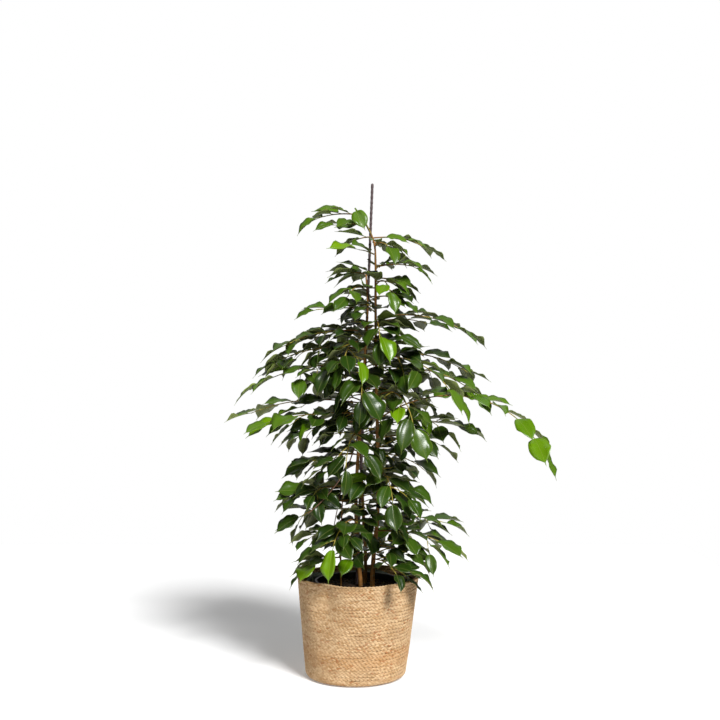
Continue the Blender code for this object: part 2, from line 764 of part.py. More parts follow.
def makeHoles():
    # Plain holes for the cane and the trunks, just wider than they are.
    holes = bpy.data.collections.new("holes")
    bpy.context.scene.collection.children.link(holes)
    for path in [canePath()] + [stemPath(name) for name in stems]:
        foot = path[0].copy()
        foot.z -= gap
        addCutter(holes, [foot] + path[1:4], soil["holeSlack"])
    return holes


def makeClip(material):
    # A flat moulded clip with a hole for the cane and one for the trunk beside it.
    height = clip["height"]
    canePoint, _ = pathAtHeight(canePath(), height)
    stemPoint, _ = pathAtHeight(stemPath("right"), height)
    middle = (canePoint.xyz + stemPoint.xyz) / 2
    reach = (stemPoint.xyz - canePoint.xyz).length / 2
    shape = bmesh.new()
    bmesh.ops.create_cone(
        shape, cap_ends=True, segments=clip["sides"], radius1=1, radius2=1, depth=clip["thickness"]
    )
    turn = math.atan2(stemPoint.y - canePoint.y, stemPoint.x - canePoint.x)
    across = canePoint.w + clip["wall"] + clip["room"]
    for vertex in shape.verts:
        x = vertex.co.x * (reach + across)
        y = vertex.co.y * across
        vertex.co.x = middle.x + x * math.cos(turn) - y * math.sin(turn)
        vertex.co.y = middle.y + x * math.sin(turn) + y * math.cos(turn)
        vertex.co.z += height
    thing = addObject("plant_clip", meshFromBmesh("plant_clip", shape), material)
    holes = bpy.data.collections.new("clip_holes")
    bpy.context.scene.collection.children.link(holes)
    for path in (canePath(), stemPath("right")):
        below, _ = pathAtHeight(path, height - clip["holeReach"])
        above, _ = pathAtHeight(path, height + clip["holeReach"])
        addCutter(holes, [below, above], clip["holeSlack"])
    combine(thing, holes, "DIFFERENCE")
    return thing


# Branches

def makeBlade(name, leaf):
    # A leaf's sheet with its faces outward, thickened on both sides.
    sheet = leafSheet(leaf)
    sheet.normal_update()
    if sum(face.normal.dot(leaf["normal"]) for face in sheet.faces) < 0:
        bmesh.ops.reverse_faces(sheet, faces=sheet.faces[:])
    blade = bpy.data.objects.new(name, meshFromBmesh(name, sheet))
    plantCollection.objects.link(blade)
    thicken(blade, leafShape["thickness"], 0, even=False)
    return blade


def makeBranch(name, number, rings, leaves, material):
    # A four-sided twig with every blade, and any bare twig, joined to it.
    twig = tube(name, rings, 4, material)
    extras = [makeBlade(name + "_blade", leaf) for leaf in leaves]
    if number in prunedTwigs:
        extras.append(tube(name + "_bare", prunedPath(number, {"rings": rings}), 4, material))
    blades = bpy.data.collections.new(name + "_blades")
    bpy.context.scene.collection.children.link(blades)
    for extra in extras:
        plantCollection.objects.unlink(extra)
        blades.objects.link(extra)
    combine(twig, blades, "UNION")
    trimJoints(twig, [leaf["root"] for leaf in leaves])
    return twig


for thing in list(bpy.data.objects):
    bpy.data.objects.remove(thing)

plantCollection = bpy.data.collections.new("potted_weeping_fig")
bpy.context.scene.collection.children.link(plantCollection)
cutterGrey = plainMaterial("cutter", (0.5, 0.5, 0.5), 0.5)

straw = plainMaterial("straw", (0.56, 0.40, 0.23), 0.85)
film = plainMaterial("film", (0.30, 0.31, 0.32), 0.35)
blackPlastic = plainMaterial("black_plastic", (0.015, 0.015, 0.017), 0.45)
earth = plainMaterial("soil", (0.030, 0.020, 0.014), 0.95)
caneBark = plainMaterial("cane", (0.075, 0.055, 0.060), 0.60)
bark = plainMaterial("bark", (0.085, 0.045, 0.026), 0.70)
clipPlastic = plainMaterial("clip_plastic", (0.020, 0.045, 0.040), 0.45)
darkLeaf = plainMaterial("leaf_dark", (0.020, 0.070, 0.018), 0.35)
freshLeaf = plainMaterial("leaf_fresh", (0.060, 0.210, 0.020), 0.35)

layout = Layout()
layout.placeTwigs()
layout.placeLeaves()

makeBasket(straw)
makeLiner(film)
makeNurseryPot(blackPlastic)
makeSoil(earth, makeHoles())
makeCane(caneBark)
for stemName in stems:
    makeStem(stemName, bark)
makeClip(clipPlastic)
for number, row in enumerate(branches):
    leafColour = freshLeaf if row[9] >= 0.6 else darkLeaf
    name = f"branch_{number + 1:02d}"
    makeBranch(name, number, layout.twigs[number]["rings"], layout.leaves[number], leafColour)

for collection in list(bpy.data.collections):
    if collection is not plantCollection and not collection.objects:
        bpy.data.collections.remove(collection)

print("leaves", sum(len(leaves) for leaves in layout.leaves), "dropped", layout.dropped)
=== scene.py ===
# A potted weeping fig in a soft woven basket, dressed over its CAD frame.
# Metres, +Z up, +Y away from the viewer; the origin is the centre of the basket's flat underside.
import itertools
import math
import random

import bmesh
import bpy
import numpy as np
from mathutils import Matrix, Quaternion, Vector, noise
from mathutils.bvhtree import BVHTree
from mathutils.kdtree import KDTree


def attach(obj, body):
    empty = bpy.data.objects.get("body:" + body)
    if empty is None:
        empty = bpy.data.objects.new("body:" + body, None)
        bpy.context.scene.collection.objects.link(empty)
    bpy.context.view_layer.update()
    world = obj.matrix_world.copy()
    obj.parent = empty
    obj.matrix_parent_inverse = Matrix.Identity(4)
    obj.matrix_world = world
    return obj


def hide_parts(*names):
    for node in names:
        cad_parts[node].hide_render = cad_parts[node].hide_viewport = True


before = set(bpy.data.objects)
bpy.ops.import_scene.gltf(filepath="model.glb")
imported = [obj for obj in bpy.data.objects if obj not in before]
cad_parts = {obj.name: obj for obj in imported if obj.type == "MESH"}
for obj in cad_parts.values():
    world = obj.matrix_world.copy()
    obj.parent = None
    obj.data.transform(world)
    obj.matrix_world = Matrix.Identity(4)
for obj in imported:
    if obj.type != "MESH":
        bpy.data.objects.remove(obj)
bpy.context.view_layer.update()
print("frame loaded:", len(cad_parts), "nodes")

# What a user would change in the plant as a whole. The solids have the same numbers.
gap = 0.0003
crownMiddle = 0.02
seeds = {"twigs": 4100, "leaves": 700, "filling": 9100, "tipLeaf": 15, "braid": 77, "crumbs": 58}

basket = {
    "height": 0.207,
    "rimRadius": 0.1265,
    "baseRadius": 0.1055,
    "cornerRadius": 0.012,
    "wall": 0.0055,
    "dents": ((237, 0.0115, 14), (305, 0.0075, 10), (95, 0.0045, 18)),
    "dentStart": 0.100,
    "dentSwell": 0.72,
    "wobble": 0.0012,
    "wobbleFrom": 0.05,
    "wobbles": ((2, 0.6, 1.0), (3, 2.1, 0.7)),
    "lean": 0.0050,
}

nurseryPot = {"height": 0.190, "rimRadius": 0.0865, "baseRadius": 0.0680, "wall": 0.0012, "lip": 0.0030,
              "shift": 0.0050}

liner = {"thickness": 0.0007, "top": 0.1960, "ripple": 0.0032, "ripples": 9, "edgeWave": 0.0040}

soil = {"top": 0.1850}

cane = {"foot": (0.0000, 0.0060, 0.126), "head": (0.0355, 0.0060, 1.026), "radius": 0.0030}

# Each trunk is a smooth path through given points: x, y, z and radius.
stems = {
    "left": (
        (0.0110, -0.0140, 0.130, 0.0046), (0.0110, -0.0140, 0.186, 0.0046), (0.0060, -0.0180, 0.250, 0.0042),
        (0.0010, -0.0170, 0.360, 0.0038), (0.0080, -0.0150, 0.500, 0.0033), (0.0180, -0.0130, 0.640, 0.0027),
        (0.0250, -0.0110, 0.760, 0.0020), (0.0220, -0.0110, 0.835, 0.0015),
    ),
    "right": (
        (0.0350, -0.0100, 0.130, 0.0052), (0.0350, -0.0100, 0.186, 0.0052), (0.0380, -0.0100, 0.250, 0.0047),
        (0.0470, -0.0050, 0.350, 0.0042), (0.0460, -0.0020, 0.500, 0.0037), (0.0430, -0.0030, 0.640, 0.0032),
        (0.0420, -0.0040, 0.790, 0.0025), (0.0420, -0.0050, 0.850, 0.0022), (0.0390, -0.0080, 0.900, 0.0021),
        (0.0210, -0.0110, 0.940, 0.0020), (-0.0010, -0.0120, 0.972, 0.0018),
    ),
    "back": (
        (0.0200, 0.0220, 0.130, 0.0042), (0.0200, 0.0220, 0.186, 0.0042), (0.0210, 0.0260, 0.250, 0.0038),
        (0.0150, 0.0320, 0.360, 0.0034), (0.0110, 0.0330, 0.500, 0.0028), (0.0180, 0.0280, 0.640, 0.0022),
        (0.0220, 0.0250, 0.730, 0.0016),
    ),
    "shoot": (
        (-0.0300, -0.0060, 0.140, 0.0019), (-0.0300, -0.0060, 0.186, 0.0019),
        (-0.0310, -0.0100, 0.260, 0.0017), (-0.0280, -0.0160, 0.340, 0.0014), (-0.0250, -0.0200, 0.400, 0.0011),
    ),
}

# A leafy branch for each line: trunk, height on it, azimuth, length, rise at its root, droop along it,
# swing to the side, leaves, size of leaf, and youth from 0 (old, dark) to 1 (new, bright).
branches = (
    ("right", 0.958, 184, 0.084, 6, 26, 0, 5, 0.95, 0.8),
    ("right", 0.935, 190, 0.061, 10, 24, 0, 4, 0.80, 0.3),
    ("right", 0.912, 168, 0.034, 2, 30, 0, 3, 0.90, 0.7),
    ("right", 0.910, 8, 0.107, 7, 34, 0, 5, 0.88, 0.8),
    ("right", 0.850, 352, 0.078, 12, 28, 0, 4, 1.00, 0.2),
    ("right", 0.892, 300, 0.052, 22, 60, 0, 3, 0.95, 0.2),
    ("right", 0.900, 52, 0.056, 12, 44, 0, 4, 0.95, 0.2),
    ("left", 0.838, 184, 0.032, 14, 26, 0, 3, 1.02, 0.2),
    ("right", 0.826, 6, 0.047, 6, 36, 0, 3, 0.98, 0.4),
    ("right", 0.812, 292, 0.080, 24, 84, 0, 4, 0.95, 0.8),
    ("left", 0.800, 236, 0.074, 22, 78, 0, 4, 0.98, 0.2),
    ("left", 0.764, 176, 0.105, 2, 8, 0, 4, 0.85, 0.5),
    ("right", 0.745, 354, 0.187, 9, 40, 4, 7, 0.92, 0.1),
    ("right", 0.735, 28, 0.122, 12, 28, 0, 5, 0.95, 0.2),
    ("left", 0.735, 112, 0.105, 16, 60, 0, 5, 0.95, 0.2),
    ("left", 0.716, 190, 0.173, 5, 34, 0, 7, 0.95, 0.2),
    ("right", 0.725, 274, 0.110, 22, 92, 0, 6, 1.00, 0.6),
    ("right", 0.667, 8, 0.199, 8, 42, -4, 7, 0.95, 0.1),
    ("left", 0.678, 177, 0.181, 8, 34, 0, 7, 1.02, 0.3),
    ("left", 0.685, 246, 0.130, 20, 88, 0, 5, 1.00, 0.3),
    ("right", 0.662, 334, 0.205, 13, 66, 10, 7, 1.05, 0.8),
    ("back", 0.705, 84, 0.145, 18, 66, 0, 5, 0.95, 0.2),
    ("left", 0.644, 184, 0.217, 5, 32, 0, 6, 1.05, 0.7),
    ("right", 0.630, 2, 0.210, 12, 52, 0, 7, 1.00, 0.1),
    ("left", 0.625, 268, 0.145, 22, 96, 0, 6, 1.05, 0.3),
    ("back", 0.640, 128, 0.170, 16, 62, 0, 5, 1.00, 0.2),
    ("back", 0.610, 44, 0.170, 16, 62, 0, 5, 1.00, 0.2),
    ("left", 0.566, 175, 0.233, 9, 32, 0, 7, 1.02, 0.5),
    ("right", 0.580, 302, 0.170, 20, 90, -8, 7, 1.10, 0.9),
    ("left", 0.545, 203, 0.201, 4, 18, 0, 6, 1.12, 0.6),
    ("right", 0.532, 4, 0.380, 32, 90, -38, 13, 1.12, 0.5),
    ("back", 0.540, 98, 0.170, 14, 62, 0, 5, 1.00, 0.1),
    ("left", 0.526, 192, 0.112, 6, 32, 0, 6, 1.00, 0.1),
    ("right", 0.520, 10, 0.181, 10, 26, 0, 6, 0.98, 0.1),
    ("left", 0.495, 258, 0.150, 20, 96, 0, 5, 1.05, 0.5),
    ("right", 0.492, 336, 0.092, 14, 30, 0, 5, 1.05, 0.2),
    ("left", 0.460, 186, 0.094, 4, 28, 0, 6, 1.02, 0.2),
    ("back", 0.450, 28, 0.160, 10, 50, 0, 4, 1.00, 0.1),
    ("right", 0.415, 284, 0.130, 20, 92, 0, 6, 1.05, 0.4),
    ("left", 0.394, 202, 0.117, 5, 22, 0, 6, 0.98, 0.1),
    ("back", 0.390, 122, 0.145, 12, 58, 0, 4, 1.00, 0.1),
    ("right", 0.330, 356, 0.134, 5, 22, 0, 5, 1.02, 0.1),
    ("shoot", 0.302, 182, 0.040, 0, 10, 0, 3, 0.95, 0.2),
    ("left", 0.325, 246, 0.120, 10, 66, 0, 5, 1.08, 0.3),
    ("right", 0.300, 352, 0.147, 3, 30, 0, 5, 1.02, 0.5),
    ("right", 0.270, 324, 0.066, 6, 34, 0, 3, 1.00, 0.3),
    ("back", 0.290, 78, 0.125, 10, 40, 0, 4, 1.00, 0.1),
    ("shoot", 0.245, 209, 0.071, 4, 34, 0, 5, 1.12, 0.7),
    ("right", 0.242, 292, 0.112, 8, 30, 0, 4, 0.84, 0.2),
    ("left", 0.366, 192, 0.117, 0, 34, 0, 4, 0.98, 0.1),
)

# Bare twigs, cut back long ago, that grow from a branch: which branch, which of its rings, and the
# steps from there: x, y, z and radius.
prunedTwigs = {
    34: (1, ((-0.0170, -0.0380, -0.0500, 0.0013), (-0.0370, -0.0580, -0.0850, 0.0012),
             (-0.0710, -0.0700, -0.1250, 0.0011), (-0.1000, -0.0780, -0.1500, 0.0010))),
    39: (2, ((-0.0060, -0.0160, -0.0300, 0.0011), (-0.0120, -0.0240, -0.0600, 0.0010),
             (-0.0200, -0.0270, -0.1000, 0.0009))),
}

leafShape = {
    "length": 0.077,
    "width": 0.0370,
    "stalk": 0.15,
    "stalkWidth": 0.0014,
    "rows": (0.0, 0.15, 0.34, 0.68, 1.0),
    "fullness": 1.12,
    "bodyEnd": 0.84,
    "bodyCurve": (0.66, 0.64),
    "bodyPeak": 0.4063,
    "tipWidth": 0.24,
    "tipCurve": 0.7,
    "waves": 1.3,
    "waveLag": 0.25,
}

# How the leaves stand: each leaf's values are drawn between two limits, or up to one.
leafHabit = {
    "spread": (0.45, 0.85),
    "lastSpread": 0.10,
    "hang": (-0.08, 0.30),
    "stray": 0.13,
    "strayStep": 0.02,
    "faceUp": 0.80,
    "faceOut": (0.0, 0.45),
    "faceSide": (-0.10, 0.25),
    "faceLight": (0.0, 0.32),
    "roll": 0.46,
    "rollStep": 0.05,
    "length": (0.80, 1.10),
    "lastLength": 0.92,
    "width": (0.82, 1.12),
    "arch": (0.22, 0.75),
    "lift": (0.05, 0.30),
    "fold": (0.18, 0.45),
    "wave": (0.08, 0.20),
    "sway": 0.004,
    "youthSpread": 0.3,
    "twist": 0.55,
    "lightFrom": 285,
    "flatAside": 0.6,
}

twigShape = {"rootRadius": 0.0016, "tipRadius": 0.0008, "firstLeaf": 0.16, "shortestGap": 0.04, "steps": 40,
             "tipSink": 0.003, "droopCurve": 1.2, "turnAside": 2, "turnStep": 0.35, "liftShare": 0.6}

# The room that a new twig or leaf keeps from what already stands.
room = {
    "bead": 0.004,
    "twigToTwig": 0.0025,
    "twigToPot": 0.004,
    "leafToPot": 0.003,
    "leafToTwig": 0.0012,
    "leafToLeaf": 0.0011,
    "leafEdge": 0.001,
    "sideToTwig": 0.0012,
    "sideToLeaf": 0.0010,
    "sideReach": 0.003,
    "ownBeads": 3,
    "ownRoot": 0.009,
    "reach": 0.006,
    "wellInset": 0.012,
}
tries = {"twig": 60, "leaf": 40}


# Paths

def unitAlong(azimuth, elevation):
    turn = math.radians(azimuth)
    climb = math.radians(elevation)
    return Vector((math.cos(turn) * math.cos(climb), math.sin(turn) * math.cos(climb), math.sin(climb)))


def smoothPath(points, perSpan):
    # A curve that passes through every point and keeps its radius in the fourth place.
    knots = [Vector(point) for point in points]
    path = []
    for index in range(len(knots) - 1):
        before = knots[max(index - 1, 0)]
        start, end = knots[index], knots[index + 1]
        after = knots[min(index + 2, len(knots) - 1)]
        for step in range(perSpan):
            t = step / perSpan
            path.append(
                0.5 * (2 * start + (end - before) * t + (2 * before - 5 * start + 4 * end - after) * t ** 2
                       + (3 * start - before - 3 * end + after) * t ** 3)
            )
    path.append(knots[-1])
    return path


def stemPath(name):
    return smoothPath(stems[name], 2)


def canePath():
    foot, head = Vector(cane["foot"]), Vector(cane["head"])
    return [Vector((*foot, cane["radius"])), Vector((*head, cane["radius"]))]


def pathAtHeight(path, height):
    # The path's point, with its radius, and its direction where it first reaches a height.
    for start, end in zip(path, path[1:]):
        if end.z >= height:
            share = (height - start.z) / (end.z - start.z)
            return start.lerp(end, share), (end.xyz - start.xyz).normalized()
    return path[-1], (path[-1].xyz - path[-2].xyz).normalized()


def walkAlong(start, length, steps, headingAt):
    # Points along a path whose heading is known at each share of it.
    points = [start]
    for step in range(steps):
        points.append(points[-1] + headingAt((step + 0.5) / steps) * length / steps)
    return points


def growTwig(row, turn, lift):
    # A twig leaves its trunk's surface and droops, with a ring between each leaf and the next.
    stem, height, azimuth, length, rise, droop, swing, leafCount = row[:8]
    centre, grain = pathAtHeight(stemPath(stem), height)
    heading = unitAlong(azimuth + turn, rise + lift)
    slope = abs(heading.dot(grain))
    reach = centre.w + gap + twigShape["rootRadius"] * slope
    steps = twigShape["steps"]
    start = centre.xyz + heading * reach / math.sqrt(1 - slope ** 2)
    points = walkAlong(start, length, steps, lambda share: unitAlong(
        azimuth + turn + swing * share, rise + lift - droop * share ** twigShape["droopCurve"]))
    first = twigShape["firstLeaf"]
    spacing = (1 - first) / (leafCount - 1)
    shares = [0.0] + [first + spacing * (index - 0.5) for index in range(leafCount)] + [1.0]
    if shares[1] < twigShape["shortestGap"]:
        del shares[1]
    rings = []
    for share in shares:
        place = min(int(share * steps), steps - 1)
        spot = points[place].lerp(points[place + 1], share * steps - place)
        rings.append(Vector((*spot, twigRadius(share))))
    roots, headings = [], []
    for start, end in zip(rings[-leafCount - 1:-1], rings[-leafCount:]):
        headings.append((end.xyz - start.xyz).normalized())
        roots.append((start.xyz + end.xyz) / 2)
    roots[-1] = rings[-1].xyz - headings[-1] * twigShape["tipSink"]
    return {"rings": rings, "roots": roots, "headings": headings}


def prunedPath(number, twig):
    # A bare twig starts inside its branch and follows its own steps.
    ring, steps = prunedTwigs[number]
    start = twig["rings"][ring]
    knots = [start] + [Vector((*(start.xyz + Vector(step[:3])), step[3])) for step in steps]
    return smoothPath(knots, 2)


def twigRadius(share):
    return twigShape["rootRadius"] + (twigShape["tipRadius"] - twigShape["rootRadius"]) * share


# Leaf form

def bladeHalfWidth(leaf, share):
    # An egg-shaped blade, widest near its middle, that narrows at once to a slender drip tip.
    body = min(max(share / leafShape["bodyEnd"], 0.0), 1.0)
    swelling, closing = leafShape["bodyCurve"]
    oval = body ** swelling * (1 - body) ** closing / leafShape["bodyPeak"]
    dripTip = leafShape["tipWidth"] * max(1 - share, 0.0) ** leafShape["tipCurve"]
    return leaf["width"] / 2 * math.hypot(oval, dripTip)


def leafPoint(leaf, along, across, lift=0.0, margin=0.0):
    # The stalk and midrib lie on an arc; the blade folds up from the midrib, twists and waves.
    arch = leaf["arch"]
    angle = leaf["lift"] - arch * along
    forward = (math.sin(leaf["lift"]) - math.sin(angle)) / arch
    upward = (math.cos(angle) - math.cos(leaf["lift"])) / arch
    straight = leaf["normal"] * math.cos(angle) - leaf["heading"] * math.sin(angle)
    twist = leaf["twist"] * along
    outward = straight * math.cos(twist) - leaf["across"] * math.sin(twist)
    level = leaf["across"] * math.cos(twist) + straight * math.sin(twist)
    centre = leaf["root"] + (leaf["heading"] * forward + leaf["normal"] * upward) * leaf["length"]
    share = max(along - leafShape["stalk"], 0.0) / (1 - leafShape["stalk"])
    halfWidth = leafShape["stalkWidth"] / 2
    raised = 0.0
    if share > 0:
        halfWidth = max(bladeHalfWidth(leaf, share), halfWidth * (1 - share))
        wave = math.sin(math.tau * (leafShape["waves"] * share + leaf["phase"] + leafShape["waveLag"] * across))
        raised = leaf["fold"] * abs(across) * halfWidth + leaf["wave"] * wave * across ** 2 * halfWidth
    sideways = across * (halfWidth + margin) + leaf["sway"] * share ** 2
    return centre + level * sideways + outward * (raised + lift)


def leafSheet(leaf, lift=0.0, margin=0.0):
    # A coarse open sheet: a grid of three columns, closed to the stalk's width and to the tip.
    rows = leafShape["rows"]
    sheet = bmesh.new()
    bmesh.ops.create_grid(sheet, x_segments=2, y_segments=len(rows) - 1, size=0.5)
    for vertex in sheet.verts:
        row = round((vertex.co.y + 0.5) * (len(rows) - 1))
        across = 2 * vertex.co.x
        if row != 2 and abs(across) < 0.5:
            across = -1.0
        if row == len(rows) - 1:
            across = 0.0
        if row > 1:
            across *= leafShape["fullness"]
        vertex.co = leafPoint(leaf, rows[row], across, lift, margin if row > 1 else 0.0)
    bmesh.ops.remove_doubles(sheet, verts=sheet.verts[:], dist=0.00001)
    bmesh.ops.triangulate(sheet, faces=[face for face in sheet.faces if len(face.verts) > 3])
    return sheet


def sheetTree(sheets):
    # One search tree over several sheets, which are freed, and points all over them.
    points, corners, between = [], [], []
    for sheet in sheets:
        first = len(points)
        sheet.verts.index_update()
        points += [vertex.co.copy() for vertex in sheet.verts]
        corners += [[first + vertex.index for vertex in face.verts] for face in sheet.faces]
        for edge in sheet.edges:
            start, end = edge.verts
            between += [start.co.lerp(end.co, share) for share in (0.25, 0.5, 0.75)]
        sheet.free()
    return BVHTree.FromPolygons(points, corners), points + between


def boxAround(points, margin=0.0):
    return ([min(point[axis] for point in points) - margin for axis in range(3)],
            [max(point[axis] for point in points) + margin for axis in range(3)])


def insideBox(point, low, high, margin=0.0):
    return all(low[axis] - margin < point[axis] < high[axis] + margin for axis in range(3))


# Layout: twigs first, then leaves, each kept clear of all that is already placed

class Layout:
    def __init__(self):
        self.rods = []
        self.trees = []
        self.twigs = []
        self.leaves = []
        for path in [canePath()] + [stemPath(name) for name in stems]:
            self.rods.append(self.beadsAlong(path))

    def beadsAlong(self, path):
        # A point and a radius every few millimetres of a rod.
        beads = []
        for start, end in zip(path, path[1:]):
            count = max(1, math.ceil((end.xyz - start.xyz).length / room["bead"]))
            beads += [start.lerp(end, step / count) for step in range(count)]
        beads.append(path[-1])
        return beads

    def twigClear(self, twigBeads, ownRod):
        for index, twigBead in enumerate(twigBeads):
            point = twigBead.xyz
            if not clearOfPot(point, room["twigToPot"]):
                return False
            for rod, beads in enumerate(self.rods):
                if rod == ownRod and index < room["ownBeads"]:
                    continue
                for bead in beads:
                    apart = bead.w + twigShape["rootRadius"] + room["twigToTwig"]
                    if (bead.xyz - point).length < apart:
                        return False
        return True

    def placeTwigs(self):
        for number, row in enumerate(branches):
            draw = random.Random(seeds["twigs"] + number)
            ownRod = 1 + list(stems).index(row[0])
            turn, lift = 0.0, 0.0
            for attempt in range(tries["twig"]):
                twig = growTwig(row, turn, lift)
                beads = self.beadsAlong(twig["rings"])
                if self.twigClear(beads, ownRod):
                    break
                reach = twigShape["turnAside"] + attempt * twigShape["turnStep"]
                turn = draw.uniform(-reach, reach)
                lift = draw.uniform(-reach, reach) * twigShape["liftShare"]
            self.rods.append(beads)
            self.twigs.append(twig)
        for number in prunedTwigs:
            self.rods.append(self.beadsAlong(prunedPath(number, self.twigs[number])))

    def sheetClear(self, leaf, ownBeads, root):
        apart = room["leafToLeaf"]
        guard, points = sheetTree(leafSheet(leaf, lift, room["leafEdge"]) for lift in (-apart, 0.0, apart))
        if not all(clearOfPot(point, room["leafToPot"]) for point in points):
            return False
        low, high = boxAround(points, room["reach"])
        for beads in self.rods:
            own = beads is ownBeads
            for bead in beads:
                if not insideBox(bead, low, high) or own and (bead.xyz - root).length < room["ownRoot"]:
                    continue
                if guard.find_nearest(bead.xyz, bead.w + room["leafToTwig"])[0] is not None:
                    return False
        for tree, treeLow, treeHigh in self.trees:
            if any(low[axis] > treeHigh[axis] or high[axis] < treeLow[axis] for axis in range(3)):
                continue
            if guard.overlap(tree):
                return False
        return True

    def keepSheet(self, leaf):
        tree, points = sheetTree([leafSheet(leaf)])
        self.trees.append((tree, *boxAround(points)))

    def placeLeaves(self):
        for number, row in enumerate(branches):
            draw = random.Random(seeds["leaves"] + number)
            twig = self.twigs[number]
            ownBeads = self.rods[1 + len(stems) + number]
            leaves = []
            for index, (root, heading) in enumerate(zip(twig["roots"], twig["headings"])):
                side = 1 if (index + number) % 2 else -1
                last = index == len(twig["roots"]) - 1
                for attempt in range(tries["leaf"]):
                    leaf = drawLeaf(draw, row, root, heading, side, last, attempt)
                    if self.sheetClear(leaf, ownBeads, root):
                        self.keepSheet(leaf)
                        leaves.append(leaf)
                        break
            self.leaves.append(leaves)


def clearOfPot(point, margin):
    # Outside the basket's wall, over its rim, or over the soil well inside the nursery pot.
    if point[2] > basket["height"] + margin:
        return True
    x = point[0] - basketShift(point[2])
    radius = math.hypot(x, point[1])
    if radius > basketRadius(math.atan2(point[1], x), point[2]) + margin:
        return point[2] > margin
    return radius < nurseryPot["rimRadius"] - room["wellInset"] and point[2] > soil["top"] + margin


def drawLeaf(draw, row, root, heading, side, last, attempt):
    # A leaf points along its twig, to one side and a little down, and turns its face up and to the light
    # at the front right; it lies flatter on a twig that heads aside. Later attempts stray further.
    size, youth = row[8], row[9]
    habit = leafHabit
    stray = habit["stray"] + habit["strayStep"] * attempt
    up = Vector((0, 0, 1))
    sideways = heading.cross(up).normalized() * side
    spread = habit["lastSpread"] if last else draw.uniform(*habit["spread"])
    loose = 1 - habit["flatAside"] * abs(heading.x)
    hang = draw.uniform(*habit["hang"]) * loose
    jitter = Vector([draw.uniform(-stray, stray) for _ in range(3)])
    direction = (heading + sideways * spread - up * hang + jitter).normalized()
    outward = Vector((root.x - crownMiddle, root.y, 0)).normalized()
    towardLight = unitAlong(habit["lightFrom"], 0)
    face = up * habit["faceUp"] + outward * draw.uniform(*habit["faceOut"])
    face += sideways * draw.uniform(*habit["faceSide"])
    face += towardLight * draw.uniform(*habit["faceLight"]) * loose
    face = (face - direction * face.dot(direction)).normalized()
    roll = draw.uniform(-habit["roll"], habit["roll"]) * (1 + habit["rollStep"] * attempt) * (1 + loose) / 2
    face = Quaternion(direction, roll) @ face
    fullLength = leafShape["length"] * size
    length = fullLength * draw.uniform(*habit["length"])
    if last:
        length *= habit["lastLength"]
    return {
        "root": root,
        "heading": direction,
        "normal": face,
        "across": direction.cross(face).normalized(),
        "length": length,
        "width": leafShape["width"] * size * draw.uniform(*habit["width"]) * length / fullLength,
        "arch": draw.uniform(*habit["arch"]),
        "lift": draw.uniform(*habit["lift"]),
        "fold": draw.uniform(*habit["fold"]),
        "wave": draw.uniform(*habit["wave"]),
        "phase": draw.random(),
        "sway": draw.uniform(-habit["sway"], habit["sway"]),
        "youth": min(1.0, max(0.0, youth + draw.uniform(-habit["youthSpread"], habit["youthSpread"]))),
        "twist": draw.uniform(-habit["twist"], habit["twist"]),
    }


# Pot and basket

def basketRadius(azimuth, z):
    # The sloping wall with its rounded foot, its soft wobble and the dents under the rim.
    corner = basket["cornerRadius"]
    climb = min(max((z - corner) / (basket["height"] - corner), 0.0), 1.0)
    radius = basket["baseRadius"] + (basket["rimRadius"] - basket["baseRadius"]) * climb
    if z < corner:
        radius -= corner - math.sqrt(max(corner ** 2 - (corner - z) ** 2, 0.0))
    soft = min(max((z - corner) / basket["wobbleFrom"], 0.0), 1.0)
    radius += basket["wobble"] * soft * sum(
        size * math.sin(times * azimuth + phase) for times, phase, size in basket["wobbles"])
    share = min(max((z - basket["dentStart"]) / (basket["height"] - basket["dentStart"]), 0.0), 1.0)
    depth = math.sin(math.pi * basket["dentSwell"] * share)
    for middle, deep, halfWidth in basket["dents"]:
        away = (math.degrees(azimuth) - middle + 180) % 360 - 180
        radius -= deep * depth * math.exp(-(away / halfWidth) ** 2)
    return radius


def basketShift(z):
    # The soft basket leans a little, so that its rim stands off the centre of its base.
    return basket["lean"] * max(z, 0.0) / basket["height"]


def potFloor():
    return basket["wall"] + gap + liner["thickness"] + gap


def potRadius(z):
    climb = (z - potFloor()) / nurseryPot["height"]
    return nurseryPot["baseRadius"] + (nurseryPot["rimRadius"] - nurseryPot["baseRadius"]) * climb


# Side twigs and their leaves, which fill the crown between the main twigs.

filling = {
    "shortShoots": 125,
    "shootLength": (0.028, 0.062),
    "shootHeights": (0.235, 0.895),
    "lowerShoots": 1.15,
    "sideTwigs": 130,
    "sideTwigsBelow": 0.72,
    "core": 0.150,
    "length": (0.030, 0.058),
    "leaves": (2, 3),
    "leafSize": (0.85, 1.02),
    "turn": (38, 82),
    "fall": (2, 34),
    "sideRise": 8,
    "sideDroop": 30,
    "sideThickness": 0.85,
    "sideTip": 0.0006,
    "stepsEach": 3,
    "belowTop": (0.02, 0.20),
    "rise": (5, 30),
    "droop": (20, 60),
    "youth": (0.0, 0.4),
    "tries": 14,
    "tipLeaf": (0.50, -0.45, -0.60),
}


